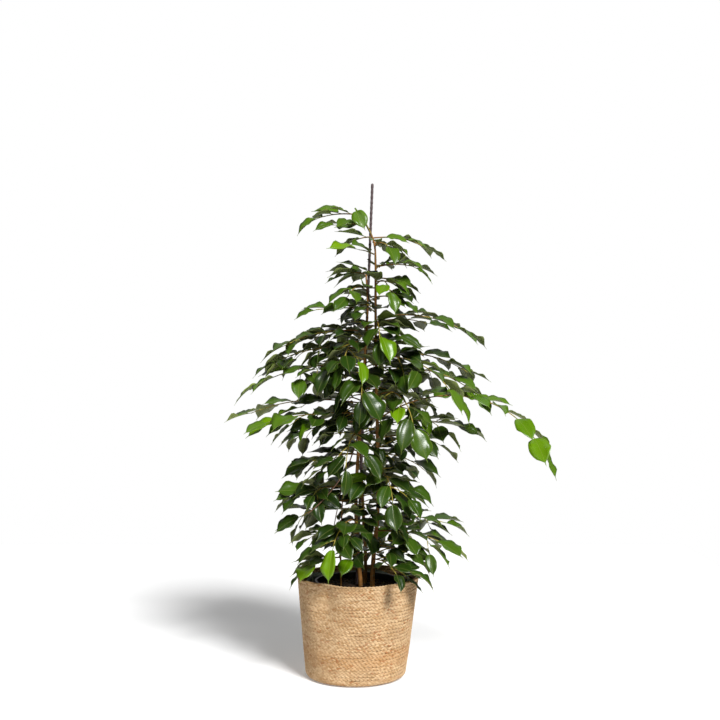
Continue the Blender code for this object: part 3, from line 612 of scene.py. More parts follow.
def growSideTwig(draw, twig, index):
    # A short twig that leaves the main one between two of its leaves and ends in a leaf of its own.
    start = twig["rings"][index]
    along = (twig["rings"][index + 1].xyz - twig["rings"][index - 1].xyz).normalized()
    azimuth = math.degrees(math.atan2(along.y, along.x)) + draw.choice((-1, 1)) * draw.uniform(*filling["turn"])
    rise = filling["sideRise"] - draw.uniform(*filling["fall"])
    length = draw.uniform(*filling["length"])
    count = draw.randint(*filling["leaves"])
    each = filling["stepsEach"]
    steps = each * count
    points = walkAlong(start.xyz, length, steps, lambda share: unitAlong(azimuth, rise - filling["sideDroop"] * share))
    thick, thin = start.w * filling["sideThickness"], filling["sideTip"]
    rings = [Vector((*spot, thick + (thin - thick) * place / steps)) for place, spot in enumerate(points)]
    places = [min(each * leaf + 2, steps - 1) for leaf in range(count)]
    return {"rings": rings, "roots": [points[place].lerp(points[place + 1], 0.5) for place in places],
            "headings": [(points[place + 1] - points[place]).normalized() for place in places]}


def fillCrown(layout):
    # Short shoots grow on the trunks and side twigs on the branches' inner stretch, wherever there is room.
    layout.low = [min(low[axis] for _, low, _ in layout.trees) for axis in range(3)]
    layout.high = [max(high[axis] for _, _, high in layout.trees) for axis in range(3)]
    draw = random.Random(seeds["filling"])
    growShoots(layout, draw)
    growSideTwigs(layout, draw)


def growShoots(layout, draw):
    names = ("left", "right", "back")
    layout.shoots = {name: [] for name in names}
    layout.shootLeaves = {name: [] for name in names}
    addTipLeaf(layout)
    grown = 0
    for attempt in range(filling["shortShoots"] * filling["tries"]):
        if grown == filling["shortShoots"]:
            break
        name = names[attempt % 3]
        low, high = filling["shootHeights"]
        height = low + (high - low) * draw.random() ** filling["lowerShoots"]
        height = min(height, stems[name][-1][2] - draw.uniform(*filling["belowTop"]))
        row = (name, height, draw.uniform(0, 360), draw.uniform(*filling["shootLength"]),
               draw.uniform(*filling["rise"]), draw.uniform(*filling["droop"]), 0, draw.randint(*filling["leaves"]),
               1.0, draw.uniform(*filling["youth"]))
        twig = growTwig(row, 0.0, 0.0)
        leaves = dressSide(layout, draw, row, twig, layout.rods[1 + list(stems).index(name)])
        if leaves:
            layout.shoots[name].append(twig)
            layout.shootLeaves[name] += leaves
            grown += 1
    print("short shoots:", grown)


def addTipLeaf(layout):
    # The youngest leaf hangs from the very tip of the leading shoot, close beside it.
    draw = random.Random(seeds["tipLeaf"])
    tip = stemPath("right")[-1].xyz
    heading = Vector(filling["tipLeaf"]).normalized()
    for attempt in range(tries["leaf"]):
        leaf = drawLeaf(draw, branches[1], tip, heading, 1, True, attempt)
        if layout.sheetClear(leaf, layout.rods[1 + list(stems).index("right")], tip):
            layout.keepSheet(leaf)
            layout.shootLeaves["right"].append(leaf)
            return


def growSideTwigs(layout, draw):
    layout.sides = [[] for _ in branches]
    spots = []
    for number, twig in enumerate(layout.twigs):
        for index, ring in enumerate(twig["rings"][1:-1], start=1):
            if math.hypot(ring.x - crownMiddle, ring.y) < filling["core"] and ring.z < filling["sideTwigsBelow"]:
                spots.append((number, index))
    draw.shuffle(spots)
    grown = 0
    for number, index in spots * 2:
        if grown == filling["sideTwigs"]:
            break
        side = growSideTwig(draw, layout.twigs[number], index)
        leaves = dressSide(layout, draw, branches[number], side, layout.rods[1 + len(stems) + number])
        if leaves:
            layout.sides[number].append(side)
            layout.leaves[number] += leaves
            grown += 1
    print("side twigs:", grown)


def dressSide(layout, draw, row, side, ownBeads):
    # The leaves of a short twig, which is kept if it stands clear and its last leaf finds room.
    beads = layout.beadsAlong(side["rings"])
    if not sideTwigClear(layout, beads, ownBeads):
        return []
    leaves = leavesOfSide(layout, draw, row, side, beads)
    if leaves:
        layout.rods.append(beads)
    return leaves


def sideTwigClear(layout, beads, ownBeads):
    for index, bead in enumerate(beads):
        if not clearOfPot(bead.xyz, room["twigToPot"]):
            return False
        for rod in layout.rods:
            if rod is ownBeads and index < room["ownBeads"]:
                continue
            if any((other.xyz - bead.xyz).length < other.w + bead.w + room["sideToTwig"] for other in rod):
                return False
        for tree, low, high in layout.trees:
            if insideBox(bead, low, high, room["sideReach"]) and tooNear(tree, bead):
                return False
    return True


def tooNear(tree, bead):
    return tree.find_nearest(bead.xyz, bead.w + room["sideToLeaf"])[0] is not None


def leavesOfSide(layout, draw, row, side, beads):
    # The leaves that find room on a side twig, or none if its last one doesn't.
    line = row[:8] + (min(row[8], 1.0) * draw.uniform(*filling["leafSize"]), row[9])
    kept = []
    for index in reversed(range(len(side["roots"]))):
        root, heading = side["roots"][index], side["headings"][index]
        last = index == len(side["roots"]) - 1
        for attempt in range(filling["tries"]):
            leaf = drawLeaf(draw, line, root, heading, 1 if index % 2 else -1, last, attempt)
            if not layout.sheetClear(leaf, beads, root) or ownTwigCut(leaf, beads, root):
                continue
            layout.keepSheet(leaf)
            _, low, high = layout.trees[-1]
            if all(low[axis] > layout.low[axis] and high[axis] < layout.high[axis] for axis in range(3)):
                kept.append(leaf)
                break
            layout.trees.pop()
        if last and not kept:
            return []
    return kept


def ownTwigCut(leaf, beads, root):
    # Whether a leaf runs through the side twig that it grows from.
    tree, _ = sheetTree([leafSheet(leaf)])
    return any((bead.xyz - root).length > room["ownRoot"] and tooNear(tree, bead) for bead in beads)


# Small tools for meshes.

def selectOnly(thing):
    bpy.ops.object.select_all(action="DESELECT")
    thing.select_set(True)
    bpy.context.view_layer.objects.active = thing


def applyModifier(thing, kind, **settings):
    modifier = thing.modifiers.new("shape", kind)
    for name, value in settings.items():
        setattr(modifier, name, value)
    selectOnly(thing)
    bpy.ops.object.modifier_apply(modifier=modifier.name)


def tidyMesh(thing, distance=0.00001):
    # Merges what coincides and turns every face outwards.
    selectOnly(thing)
    bpy.ops.object.mode_set(mode="EDIT")
    bpy.ops.mesh.select_all(action="SELECT")
    bpy.ops.mesh.remove_doubles(threshold=distance)
    bpy.ops.mesh.normals_make_consistent(inside=False)
    bpy.ops.object.mode_set(mode="OBJECT")


def wrapGrid(name, around, along, place):
    # A flat grid is wrapped round the upright axis: u runs round it, v along the profile.
    bpy.ops.object.select_all(action="DESELECT")
    bpy.ops.mesh.primitive_grid_add(x_subdivisions=around, y_subdivisions=along, size=2)
    thing = bpy.context.object
    thing.name = name
    thing.data.name = name
    for vertex in thing.data.vertices:
        vertex.co = place((vertex.co.x + 1) / 2, (vertex.co.y + 1) / 2)
    tidyMesh(thing)
    return thing


def makeRods(name, paths, sides):
    # One curve line for each path, with its own radius at each point and filled ends, made a mesh.
    bpy.ops.object.select_all(action="DESELECT")
    bpy.ops.curve.primitive_nurbs_path_add()
    thing = bpy.context.object
    thing.name = name
    curve = thing.data
    curve.splines.clear()
    curve.dimensions = "3D"
    curve.bevel_depth = 1.0
    curve.bevel_resolution = (sides - 4) // 2
    curve.use_fill_caps = True
    for path in paths:
        line = curve.splines.new("POLY")
        line.points.add(len(path) - 1)
        for point, target in zip(line.points, path):
            point.co = (*target.xyz, 1)
            point.radius = target.w
    bpy.ops.object.convert(target="MESH")
    thing = bpy.context.object
    thing.data.name = name
    tidyMesh(thing)
    thing.data.shade_smooth()
    return thing


def takeShape():
    # The points and faces of the primitive that was just shaped, which is removed again.
    thing = bpy.context.object
    points = [vertex.co.copy() for vertex in thing.data.vertices]
    faces = [tuple(face.vertices) for face in thing.data.polygons]
    bpy.data.objects.remove(thing)
    return points, faces


def meshFromArrays(name, points, quads):
    mesh = bpy.data.meshes.new(name)
    mesh.vertices.add(len(points))
    mesh.vertices.foreach_set("co", np.asarray(points, dtype=np.float32).ravel())
    mesh.loops.add(quads.size)
    mesh.loops.foreach_set("vertex_index", quads.astype(np.int32).ravel())
    mesh.polygons.add(len(quads))
    mesh.polygons.foreach_set("loop_start", np.arange(0, quads.size, 4, dtype=np.int32))
    mesh.update(calc_edges=True)
    mesh.shade_smooth()
    thing = bpy.data.objects.new(name, mesh)
    bpy.context.scene.collection.objects.link(thing)
    return thing


def paintPoints(thing, name, values):
    # Four numbers for each point, which a material reads by name.
    layer = thing.data.attributes.new(name, "FLOAT_COLOR", "POINT")
    layer.data.foreach_set("color", np.asarray(values, dtype=np.float32).ravel())


def mapCorners(thing, name, pairs):
    layer = thing.data.uv_layers.new(name=name)
    layer.data.foreach_set("uv", np.asarray(pairs, dtype=np.float32).ravel())


def finishPiece(thing, material, slotName, *nodes):
    thing.data.materials.clear()
    thing.data.materials.append(material)
    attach(thing, "root")
    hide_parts(*nodes)


# Small tools for materials.

def fromHex(code):
    # An sRGB colour made linear.
    parts = [int(code[place:place + 2], 16) / 255 for place in (1, 3, 5)]
    return tuple(part / 12.92 if part <= 0.04045 else ((part + 0.055) / 1.055) ** 2.4 for part in parts) + (1.0,)


def fillSockets(tree, node, values):
    # A socket takes a number, a hex colour, another node's output, or a node for its first output in use.
    for name, value in values.items():
        if isinstance(value, bpy.types.Node):
            value = next(socket for socket in value.outputs if socket.enabled)
        if isinstance(value, bpy.types.NodeSocket):
            tree.links.new(value, node.inputs[name])
        else:
            node.inputs[name].default_value = fromHex(value) if isinstance(value, str) else value


def addNode(tree, kind, sockets=(), **settings):
    node = tree.nodes.new("ShaderNode" + kind)
    for name, value in settings.items():
        setattr(node, name, value)
    fillSockets(tree, node, dict(sockets))
    return node


def startMaterial(name, sockets):
    # A new material with one Principled shader, and the place on the object in metres.
    material = bpy.data.materials.new(name)
    material.use_nodes = True
    tree = material.node_tree
    fillSockets(tree, tree.nodes["Principled BSDF"], sockets)
    return material, tree, addNode(tree, "TexCoord").outputs["Object"]


def scatter(tree, place, *sizes):
    # Soft noise for each size in millimetres.
    return [addNode(tree, "TexNoise", {"Vector": place, "Scale": 1000 / size, "Detail": 3.0}) for size in sizes]


def fadeIn(tree, *ranges):
    # For each value, from and to: 0 up to from and 1 past to, with soft ends; 1 up to to where from is the larger.
    return [addNode(tree, "MapRange", {"Value": value, "From Min": low, "From Max": high},
                    interpolation_type="SMOOTHSTEP") for value, low, high in ranges]


def layerColours(tree, colour, *layers):
    # Lays colours over the first one: each with its amount, the most that it may cover, and itself.
    for amount, most, layer in layers:
        share = addNode(tree, "Math", {0: amount, 1: most}, operation="MULTIPLY")
        colour = addNode(tree, "Mix", {0: share, 6: colour, 7: layer}, data_type="RGBA")
    return colour


def dressShader(tree, colour, dullness, relief):
    # Roughness from a pattern, its weight and the least; relief from a pattern, its depth and its strength.
    rough = addNode(tree, "Math", dict(enumerate(dullness)), operation="MULTIPLY_ADD")
    bump = addNode(tree, "Bump", dict(zip(("Height", "Distance", "Strength"), relief)))
    fillSockets(tree, tree.nodes["Principled BSDF"], {"Base Color": colour, "Roughness": rough, "Normal": bump})


# Camera and light: the photograph's view, an even white studio with its key light at the front right.
# Each sun has its name, azimuth, elevation, strength and softness.

studio = {
    "camera": (0.0095, -2.30, 0.6560),
    "lens": 55.0,
    "sensor": 36,
    "suns": (("keyLight", 299, 42, 4.4, 17), ("fillLight", 238, 38, 0.34, 40), ("backLight", 95, 38, 0.40, 70)),
    "sunDistance": 4,
    "skyStrength": 0.05,
    "floor": 2.8,
    "floorPlace": (-0.25, 0.2, -0.0005),
    "floorTone": 0.86,
    "floorGlow": 0.185,
}


def addSun(name, azimuth, elevation, strength, softness):
    towards = unitAlong(azimuth, elevation)
    bpy.ops.object.light_add(type="SUN", location=towards * studio["sunDistance"])
    sun = bpy.context.object
    sun.name = name
    sun.data.energy = strength
    sun.data.angle = math.radians(softness)
    sun.rotation_mode = "QUATERNION"
    sun.rotation_quaternion = towards.to_track_quat("Z", "Y")


def setStudio():
    scene = bpy.context.scene
    bpy.ops.object.camera_add(location=studio["camera"], rotation=(math.radians(90), 0, 0))
    scene.camera = bpy.context.object
    scene.camera.data.lens = studio["lens"]
    scene.camera.data.sensor_width = studio["sensor"]
    for sun in studio["suns"]:
        addSun(*sun)
    world = bpy.data.worlds.new("whiteStudio")
    world.use_nodes = True
    tree = world.node_tree
    seen = addNode(tree, "LightPath").outputs["Is Camera Ray"]
    strength = addNode(tree, "MapRange", {"Value": seen, "To Min": studio["skyStrength"], "To Max": 1.0})
    fillSockets(tree, tree.nodes["Background"], {"Color": (1, 1, 1, 1), "Strength": strength})
    scene.world = world
    scene.view_settings.view_transform = "Standard"
    bpy.ops.mesh.primitive_plane_add(size=studio["floor"], location=studio["floorPlace"])
    floor = bpy.context.object
    floor.name = "studioFloor"
    # Matt white paint, which glows a little so that it stays white in the soft shade.
    tone = studio["floorTone"]
    floor.data.materials.append(startMaterial("paintedFloor", {
        "Base Color": (tone, tone, tone, 1), "Roughness": 0.9,
        "Emission Color": (1, 1, 1, 1), "Emission Strength": studio["floorGlow"]})[0])
    print("camera and light set")


setStudio()


# Leaves: a stalk, an egg-shaped blade that folds and waves, and a drip tip.

fineLeaf = {
    "columns": 4,
    "rows": (0, 0.075, 0.15, 0.17, 0.205, 0.25, 0.31, 0.38, 0.45, 0.52, 0.60, 0.68, 0.76, 0.84, 0.90, 0.95,
             0.98, 1.0),
    "halfThickness": 0.00021,
    "stalkHalfThickness": 0.00062,
    "tipHalfWidth": 0.00025,
    "ribHeight": 0.0004,
    "ribNarrowing": 3,
    "ripple": 0.11,
    "ripples": 2.4,
    "mapScale": 10.0,
}

# Leaves near the trunks are the oldest and also get painted shade; a leaf gets painted light, which makes it lighter,
# from outerFrom to outerTo and from topFrom to topTo.
leafAgeAndPaintedLight = {
    "outerFrom": 0.085,
    "outerTo": 0.225,
    "topFrom": 0.70,
    "topTo": 0.86,
    "depthCounts": 0.4,
    "ownMost": 0.55,
    "own": 0.35,
    "outer": 0.34,
    "middle": 0.55,
    "choices": 14,
    "shownCounts": 0.045,
    "seenAt": ((0.35, 0.55, 0.75), (-0.5, 0.0, 0.5)),
    "clear": 0.002,
    "before": 0.1,
    "beside": 0.03,
}

# Where new bright leaves show from the front: x and z of each place.
brightSpots = (
    (-0.093, 0.947), (-0.026, 0.899), (-0.083, 0.786), (-0.039, 0.685), (-0.229, 0.612), (-0.257, 0.519),
    (-0.194, 0.517), (-0.106, 0.519), (0.003, 0.418), (-0.116, 0.213), (-0.068, 0.224), (-0.018, 0.211),
    (0.137, 0.892), (0.076, 0.815), (0.049, 0.739), (0.079, 0.668), (0.156, 0.639), (0.208, 0.620),
    (0.252, 0.576), (0.097, 0.530), (0.135, 0.519), (0.372, 0.515), (0.404, 0.452), (0.215, 0.259),
    (0.018, 0.614), (0.053, 0.415), (0.066, 0.291),
)


def leafMiddle(leaf):
    return leafPoint(leaf, leafAgeAndPaintedLight["middle"], 0.0)


def brightenLeaves(layout):
    # Leaves near the trunks are the oldest and darkest, with painted shade laid over them; those at the top and far
    # out to the sides are lighter with painted light.
    # At each bright spot the leaf that faces the viewer best turns young.
    age = leafAgeAndPaintedLight
    leaves = [leaf for line in layout.leaves + list(layout.shootLeaves.values()) for leaf in line]
    for leaf in leaves:
        middle = leafMiddle(leaf)
        reach = math.hypot(middle.x - crownMiddle, age["depthCounts"] * middle.y)
        outer = max((reach - age["outerFrom"]) / (age["outerTo"] - age["outerFrom"]),
                    (middle.z - age["topFrom"]) / (age["topTo"] - age["topFrom"]))
        leaf["youth"] = min(leaf["youth"], age["ownMost"]) * age["own"] + min(max(outer, 0.0), 1.0) * age["outer"]
    cameraX, cameraY, cameraZ = studio["camera"]
    for x, z in brightSpots:
        def miss(leaf):
            middle = leafMiddle(leaf)
            nearer = cameraY / (cameraY - middle.y)
            return math.hypot(cameraX + (middle.x - cameraX) * nearer - x, cameraZ + (middle.z - cameraZ) * nearer - z)
        near = sorted(leaves, key=miss)[:age["choices"]]
        chosen = min(near, key=lambda leaf: miss(leaf) - age["shownCounts"] * shownArea(leaf, layout))
        chosen["youth"] = 1.0
        leaves.remove(chosen)


def shownArea(leaf, layout):
    # The share of a blade's points that the viewer sees, times how squarely it faces the viewer.
    eye = Vector(studio["camera"])
    alongs, acrosses = leafAgeAndPaintedLight["seenAt"]
    before, beside = leafAgeAndPaintedLight["before"], leafAgeAndPaintedLight["beside"]
    shown = 0
    for along, across in itertools.product(alongs, acrosses):
        point = leafPoint(leaf, along, across)
        ray = (eye - point).normalized()
        start = point + ray * leafAgeAndPaintedLight["clear"]
        shown += not any(
            high[1] < point.y + before
            and all(low[axis] - beside < point[axis] < high[axis] + beside for axis in (0, 2))
            and tree.ray_cast(start, ray)[0] is not None
            for tree, low, high in layout.trees)
    ray = (eye - leafMiddle(leaf)).normalized()
    return shown / (len(alongs) * len(acrosses)) * abs(leaf["normal"].dot(ray))


def leafTemplate():
    # A grid that is drawn out into a closed slab; each point keeps its column, row and side.
    rows = fineLeaf["rows"]
    bpy.ops.object.select_all(action="DESELECT")
    bpy.ops.mesh.primitive_grid_add(x_subdivisions=fineLeaf["columns"], y_subdivisions=len(rows) - 1, size=2)
    bpy.ops.object.mode_set(mode="EDIT")
    bpy.ops.mesh.select_all(action="SELECT")
    bpy.ops.mesh.extrude_region_move(TRANSFORM_OT_translate={"value": (0, 0, 1)})
    bpy.ops.mesh.select_all(action="SELECT")
    bpy.ops.mesh.normals_make_consistent(inside=False)
    bpy.ops.object.mode_set(mode="OBJECT")
    points, faces = takeShape()
    return [(point.x, rows[round((point.y + 1) / 2 * (len(rows) - 1))], round(point.z)) for point in points], faces


def fineLeafPoint(leaf, across, along, upper):
    # A point of the blade's or stalk's surface, with its place on the flattened leaf.
    share = max(along - leafShape["stalk"], 0.0) / (1 - leafShape["stalk"])
    halfWidth, halfThick, crinkle = leafShape["stalkWidth"] / 2, fineLeaf["halfThickness"], 0.0
    if share == 0:
        halfThick += (fineLeaf["stalkHalfThickness"] - halfThick) * math.sqrt(max(1 - across ** 2, 0.0))
    else:
        if not upper:
            rib = max(1 - fineLeaf["ribNarrowing"] * abs(across), 0.0)
            halfThick += fineLeaf["ribHeight"] * (1 - share) * rib
        halfWidth = max(bladeHalfWidth(leaf, share), halfWidth * (1 - share))
        wave = math.sin(math.tau * (fineLeaf["ripples"] * share + 2.0 * leaf["phase"] + 0.5 * across))
        crinkle = fineLeaf["ripple"] * wave * across ** 2 * halfWidth
    spot = leafPoint(leaf, along, across, crinkle + (halfThick if upper else -halfThick))
    if along == 1.0:
        spot = spot + leaf["across"] * across * fineLeaf["tipHalfWidth"]
    mapped = (0.5 + across * halfWidth * fineLeaf["mapScale"],
              (along - leafShape["stalk"]) * leaf["length"] * fineLeaf["mapScale"])
    return spot, mapped


def makeLeaves(name, leaves, template):
    # Copies of the one leaf, each bent to its own shape and painted with its own age, with painted light and shade
    # laid over it.
    templatePoints, templateFaces = template
    points, tones, mapped, quads = [], [], [], []
    draw = random.Random(name)
    for leaf in leaves:
        first = len(points)
        tone = draw.random()
        for across, along, upper in templatePoints:
            spot, place = fineLeafPoint(leaf, across, along, upper)
            points.append(spot)
            mapped.append(place)
            tones.append((leaf["youth"], 1.0 - upper, tone, abs(across)))
        quads += [[first + index for index in face] for face in templateFaces]
    quads = np.array(quads)
    thing = meshFromArrays(name, points, quads)
    paintPoints(thing, "leafTone", tones)
    mapCorners(thing, "leafMap", np.array(mapped)[quads.ravel()])
    return thing


def leafMaterial():
    # Ficus leaf: a waxy cuticle over green tissue. Mature blades are deep green with a soft grey sheen,
    # new ones bright yellow-green; the underside is pale and dull, the midrib lighter than the blade.
    material, tree, place = startMaterial("waxyFigLeaf", {"IOR": 1.46, "Specular IOR Level": 0.50})
    tone = addNode(tree, "Attribute", attribute_name="leafTone")
    # The first value is the leaf's age with painted shade near the trunks and painted light at the top and sides laid
    # over it.
    youth, under, own = addNode(tree, "SeparateColor", {"Color": tone}).outputs
    aside, ahead, _ = addNode(tree, "SeparateXYZ", {"Vector": addNode(tree, "UVMap", uv_map="leafMap")}).outputs
    aside = addNode(tree, "Math", {0: aside, 1: 0.5}, operation="SUBTRACT")
    aside = addNode(tree, "Math", {0: aside}, operation="ABSOLUTE")
    # Side veins leave the midrib every 4.5 mm at about 60 degrees; the map is in tenths of a metre.
    rise = addNode(tree, "Math", {0: aside, 1: -0.55, 2: ahead}, operation="MULTIPLY_ADD")
    turns = addNode(tree, "Math", {0: rise, 1: math.tau / 0.045}, operation="MULTIPLY")
    ripple = addNode(tree, "Math", {0: turns}, operation="SINE")
    # The midrib is 0.8 mm wide, drawn 1.4 mm wide so that it shows at this distance.
    rib, veins, youthAndPaintedLightFade, fresh, edge = fadeIn(tree, (aside, 0.007, 0.002), (ripple, 0.55, 1.0), (youth, 0.08, 0.50),
                                           (youth, 0.45, 0.95), (tone.outputs["Alpha"], 0.88, 1.0))
    # Blotches 12 mm across, and a pebbled skin drawn as coarse as 9 mm so that it shows.
    blotch, pebbles = scatter(tree, place, 12, 9)
    # Youth and painted light lighten the mature green towards #547716.
    mature = layerColours(tree, "#122404", (own, 1, "#284608"), (blotch, 0.4, "#1e3505"), (youthAndPaintedLightFade, 1, "#547716"))
    young = layerColours(tree, "#4b7300", (own, 1, "#6c9404"))
    lowerSide = layerColours(tree, "#606540", (youth, 1, "#8b9d49"))
    # Veins and midrib stand out more on the underside.
    veinShow, ribShow = (addNode(tree, "Math", {0: under, 1: more, 2: least}, operation="MULTIPLY_ADD")
                         for more, least in ((0.12, 0.03), (0.45, 0.22)))
    colour = layerColours(tree, mature, (fresh, 1, young), (under, 1, lowerSide), (veins, veinShow, "#9aa668"),
                          (rib, ribShow, "#b0b45c"), (edge, 0.26, "#97a54a"))
    height = 0.0
    for pattern, depth in ((rib, -1.0), (veins, 0.08), (pebbles, 0.6)):
        height = addNode(tree, "Math", {0: pattern, 1: depth, 2: height}, operation="MULTIPLY_ADD")
    sheen = addNode(tree, "Math", {0: blotch, 1: 0.12, 2: 0.24}, operation="MULTIPLY_ADD")
    dressShader(tree, colour, (under, 0.22, sheen), (height, 0.0005, 0.6))
    return material


# Twigs, trunks, cane and clip. A twig's age runs from 0, woody, to 1, green; a cut one is below 0.

wood = {
    "twigSides": 8,
    "trunkSides": 16,
    "twigSpan": 4,
    "sideSpan": 2,
    "trunkSpan": 5,
    "mainAge": (0.0, 0.75),
    "sideAge": (0.5, 1.0),
    "cutAge": (-0.2, -0.2),
    "knob": 0.0005,
    "knobSize": 0.014,
    "knobSpread": 0.8,
    "nub": 0.00022,
    "nubPitch": 0.011,
    "nubPoints": 6,
    "head": 0.003,
    "headRound": 0.0032,
    "headFlat": 0.05,
}


def makeTwig(name, number, twig, sides):
    # A smooth twig with its side twigs, whose points are painted with their age.
    lines = [(smoothPath(twig["rings"], wood["twigSpan"]), wood["mainAge"])]
    lines += [(smoothPath(side["rings"], wood["sideSpan"]), wood["sideAge"]) for side in sides]
    if number in prunedTwigs:
        lines.append((smoothPath(prunedPath(number, twig), wood["sideSpan"]), wood["cutAge"]))
    thing = makeRods(name, [path for path, _ in lines], wood["twigSides"])
    tree = KDTree(sum(len(path) for path, _ in lines))
    ages = []
    for path, (first, last) in lines:
        for place, spot in enumerate(path):
            tree.insert(spot.xyz, len(ages))
            ages.append(first + (last - first) * place / (len(path) - 1))
    tree.balance()
    nearest = [ages[tree.find(vertex.co)[1]] for vertex in thing.data.vertices]
    paintPoints(thing, "twigAge", [(max(age, 0.0), 1.0 if age < 0 else 0.0, 0.0, 1.0) for age in nearest])
    return thing


def twigMaterial():
    # Young fig shoots: smooth bark that turns from orange-brown at its root to yellow-green at the tip.
    material, tree, place = startMaterial("youngFigShoot", {"IOR": 1.45})
    tone = addNode(tree, "Attribute", attribute_name="twigAge")
    age, cut, _ = addNode(tree, "SeparateColor", {"Color": tone}).outputs
    blotch, grain = scatter(tree, place, 5, 1.8)
    ripe, = fadeIn(tree, (age, 0.10, 0.75))
    green = layerColours(tree, "#9a922f", (blotch, 1, "#b5a03e"))
    colour = layerColours(tree, "#77522a", (blotch, 1, "#a5763c"), (ripe, 1, green), (cut, 1, "#6d4f3c"))
    dressShader(tree, colour, (blotch, 0.25, 0.42), (grain, 0.0003, 0.5))
    return material


def makeTrunk(name, path):
    # A slender trunk with shallow knobs where leaves once grew.
    thing = makeRods("trunk_" + name, [smoothPath(path, wood["trunkSpan"])], wood["trunkSides"])
    size, spread = wood["knobSize"], wood["knobSpread"]
    normals = [vertex.normal.copy() for vertex in thing.data.vertices]
    for vertex, normal in zip(thing.data.vertices, normals):
        x, y, z = vertex.co
        vertex.co += normal * noise.noise(Vector((x / size * spread, y / size * spread, z / size))) * wood["knob"]
    return thing


def barkMaterial():
    # Weeping fig bark: thin orange-brown cork, finely ringed, with paler lenticels in short level dashes.
    material, tree, place = startMaterial("figBark", {"IOR": 1.45})
    blotch, = scatter(tree, place, 10)
    # Rings 3 mm apart, and dashes 4.2 mm apart and about twice as wide.
    rings, flecks = (addNode(tree, "TexNoise", {"Scale": 1.0, "Detail": detail, "Vector": addNode(tree, "Mapping", {
        "Vector": place, "Scale": (1000 / size * wide, 1000 / size * wide, 1000 / size)})})
        for size, wide, detail in ((3.0, 0.25, 3.0), (4.2, 0.45, 1.0)))
    # The leading shoot is still green.
    height = addNode(tree, "SeparateXYZ", {"Vector": place}).outputs[2]
    dashes, leader = fadeIn(tree, (flecks, 0.60, 0.68), (height, 0.90, 0.955))
    colour = layerColours(tree, "#8e5a26", (blotch, 1, "#c58d48"), (rings, 0.4, "#4c3218"), (dashes, 0.6, "#97825f"),
                          (leader, 1, "#5d7a24"))
    relief = addNode(tree, "Math", {0: rings, 1: dashes}, operation="ADD")
    dressShader(tree, colour, (rings, 0.2, 0.6), (relief, 0.0006, 0.7))
    return material


def makeCane():
    # A straight stake with slight nubs along it that keep a tie from sliding, and a rounded head.
    foot, head = canePath()
    length = (head.xyz - foot.xyz).length
    count = int(length / wood["nubPitch"] * wood["nubPoints"])
    path = []
    for place in range(count + 1):
        share = place / count
        left = (1 - share) * length
        turn = share * length / wood["nubPitch"] * math.tau
        radius = cane["radius"] - wood["nub"] + wood["nub"] * math.sin(turn)
        if left < wood["head"]:
            fall = (wood["head"] - left) / wood["headRound"]
            radius = cane["radius"] * math.sqrt(max(1 - fall ** 2, wood["headFlat"]))
        path.append(Vector((*foot.lerp(head, share).xyz, radius)))
    return makeRods("stake", [path], wood["trunkSides"])


def stakeMaterial():
    # Plastic-coated steel stake: extruded polyethylene in dark purple-brown, dull, with a lilac-grey gleam painted
    # into its colour in patches.
    material, tree, place = startMaterial("coatedStake", {"IOR": 1.51, "Specular IOR Level": 0.55})
    # Streaks 6 mm across and 30 mm long, as it was drawn.
    drawn = addNode(tree, "Mapping", {"Vector": place, "Scale": (1000 / 6, 1000 / 6, 1000 / 30)})
    streaks = addNode(tree, "TexNoise", {"Vector": drawn, "Scale": 1.0, "Detail": 3.0})
    # Lilac-grey patches about 3 mm across are a painted highlight; the grain of 1.6 mm is in relief.
    gleamPatches, grain = scatter(tree, place, 3, 1.6)
    paintedGleam, = fadeIn(tree, (gleamPatches, 0.55, 0.75))
    colour = layerColours(tree, "#4a3c3d", (streaks, 1, "#6d5b5c"), (paintedGleam, 1, "#84767a"))
    dressShader(tree, colour, (streaks, 0.2, 0.38), (grain, 0.0003, 0.5))
    return material


def clipMaterial():
    # Moulded polypropylene plant clip: dark blue-green, satin.
    material, tree, place = startMaterial("mouldedClip", {"IOR": 1.49})
    haze, grain = scatter(tree, place, 3, 0.7)
    colour = layerColours(tree, "#18211f", (haze, 1, "#27332f"))
    dressShader(tree, colour, (haze, 0.2, 0.32), (grain, 0.0001, 0.4))
    return material


# Basket: rows of flat three-strand straw braid, sewn edge to edge over a thin backing.

weave = {
    "pitch": 0.00660,
    "firstRow": 0.0042,
    "outerRows": 31,
    "strandPeriod": 0.0250,
    "swing": 0.00215,
    "lift": 0.00075,
    "strandWidth": 0.00205,
    "strandHeight": 0.00100,
    "stray": 0.0013,
    "swell": 0.40,
    "drift": 2.6,
    "samples": 10,
    "sides": 5,
    "coarseSamples": 8,
    "coarseSides": 4,
    "innerRows": 9,
    "innerTop": 0.0062,
    "innerLift": 0.0013,
    "innerSize": 0.8,
    "rimDrop": 0.0017,
    "rimSize": 0.92,
    "baseRows": 13,
    "baseFirst": 0.0065,
    "basePitch": 0.00725,
    "rimWave": 0.0011,
    "sag": 0.0015,
    "backing": 0.0030,
    "backingThickness": 0.0008,
    "backingGrid": (96, 44),
}


def wallSpot(azimuth, run, inset=0.0):
    # A place on the basket's outside, by azimuth and by the run from the base's centre up the wall.
    corner = basket["cornerRadius"]
    flat = basket["baseRadius"] - corner
    bend = corner * math.pi / 2
    if run < flat:
        radius, z = run, inset
    elif run < flat + bend:
        turn = (run - flat) / corner
        radius = flat + (corner - inset) * math.sin(turn)
        z = corner - (corner - inset) * math.cos(turn)
    else:
        z = corner + run - flat - bend
        radius = basketRadius(azimuth, z) - inset
    share = max(z / basket["height"], 0.0)
    wave = weave["rimWave"] * share ** 2 * math.sin(2 * azimuth + 0.9)
    ups = math.sin(3 * azimuth + 22 * z) + math.sin(7 * azimuth - 35 * z)
    wave += weave["sag"] * 2 * share * (1 - min(share, 1.0)) * ups
    return Vector((radius * math.cos(azimuth) + basketShift(z), radius * math.sin(azimuth), z + wave))


def runAtHeight(z):
    corner = basket["cornerRadius"]
    return basket["baseRadius"] - corner + corner * math.pi / 2 + z - corner


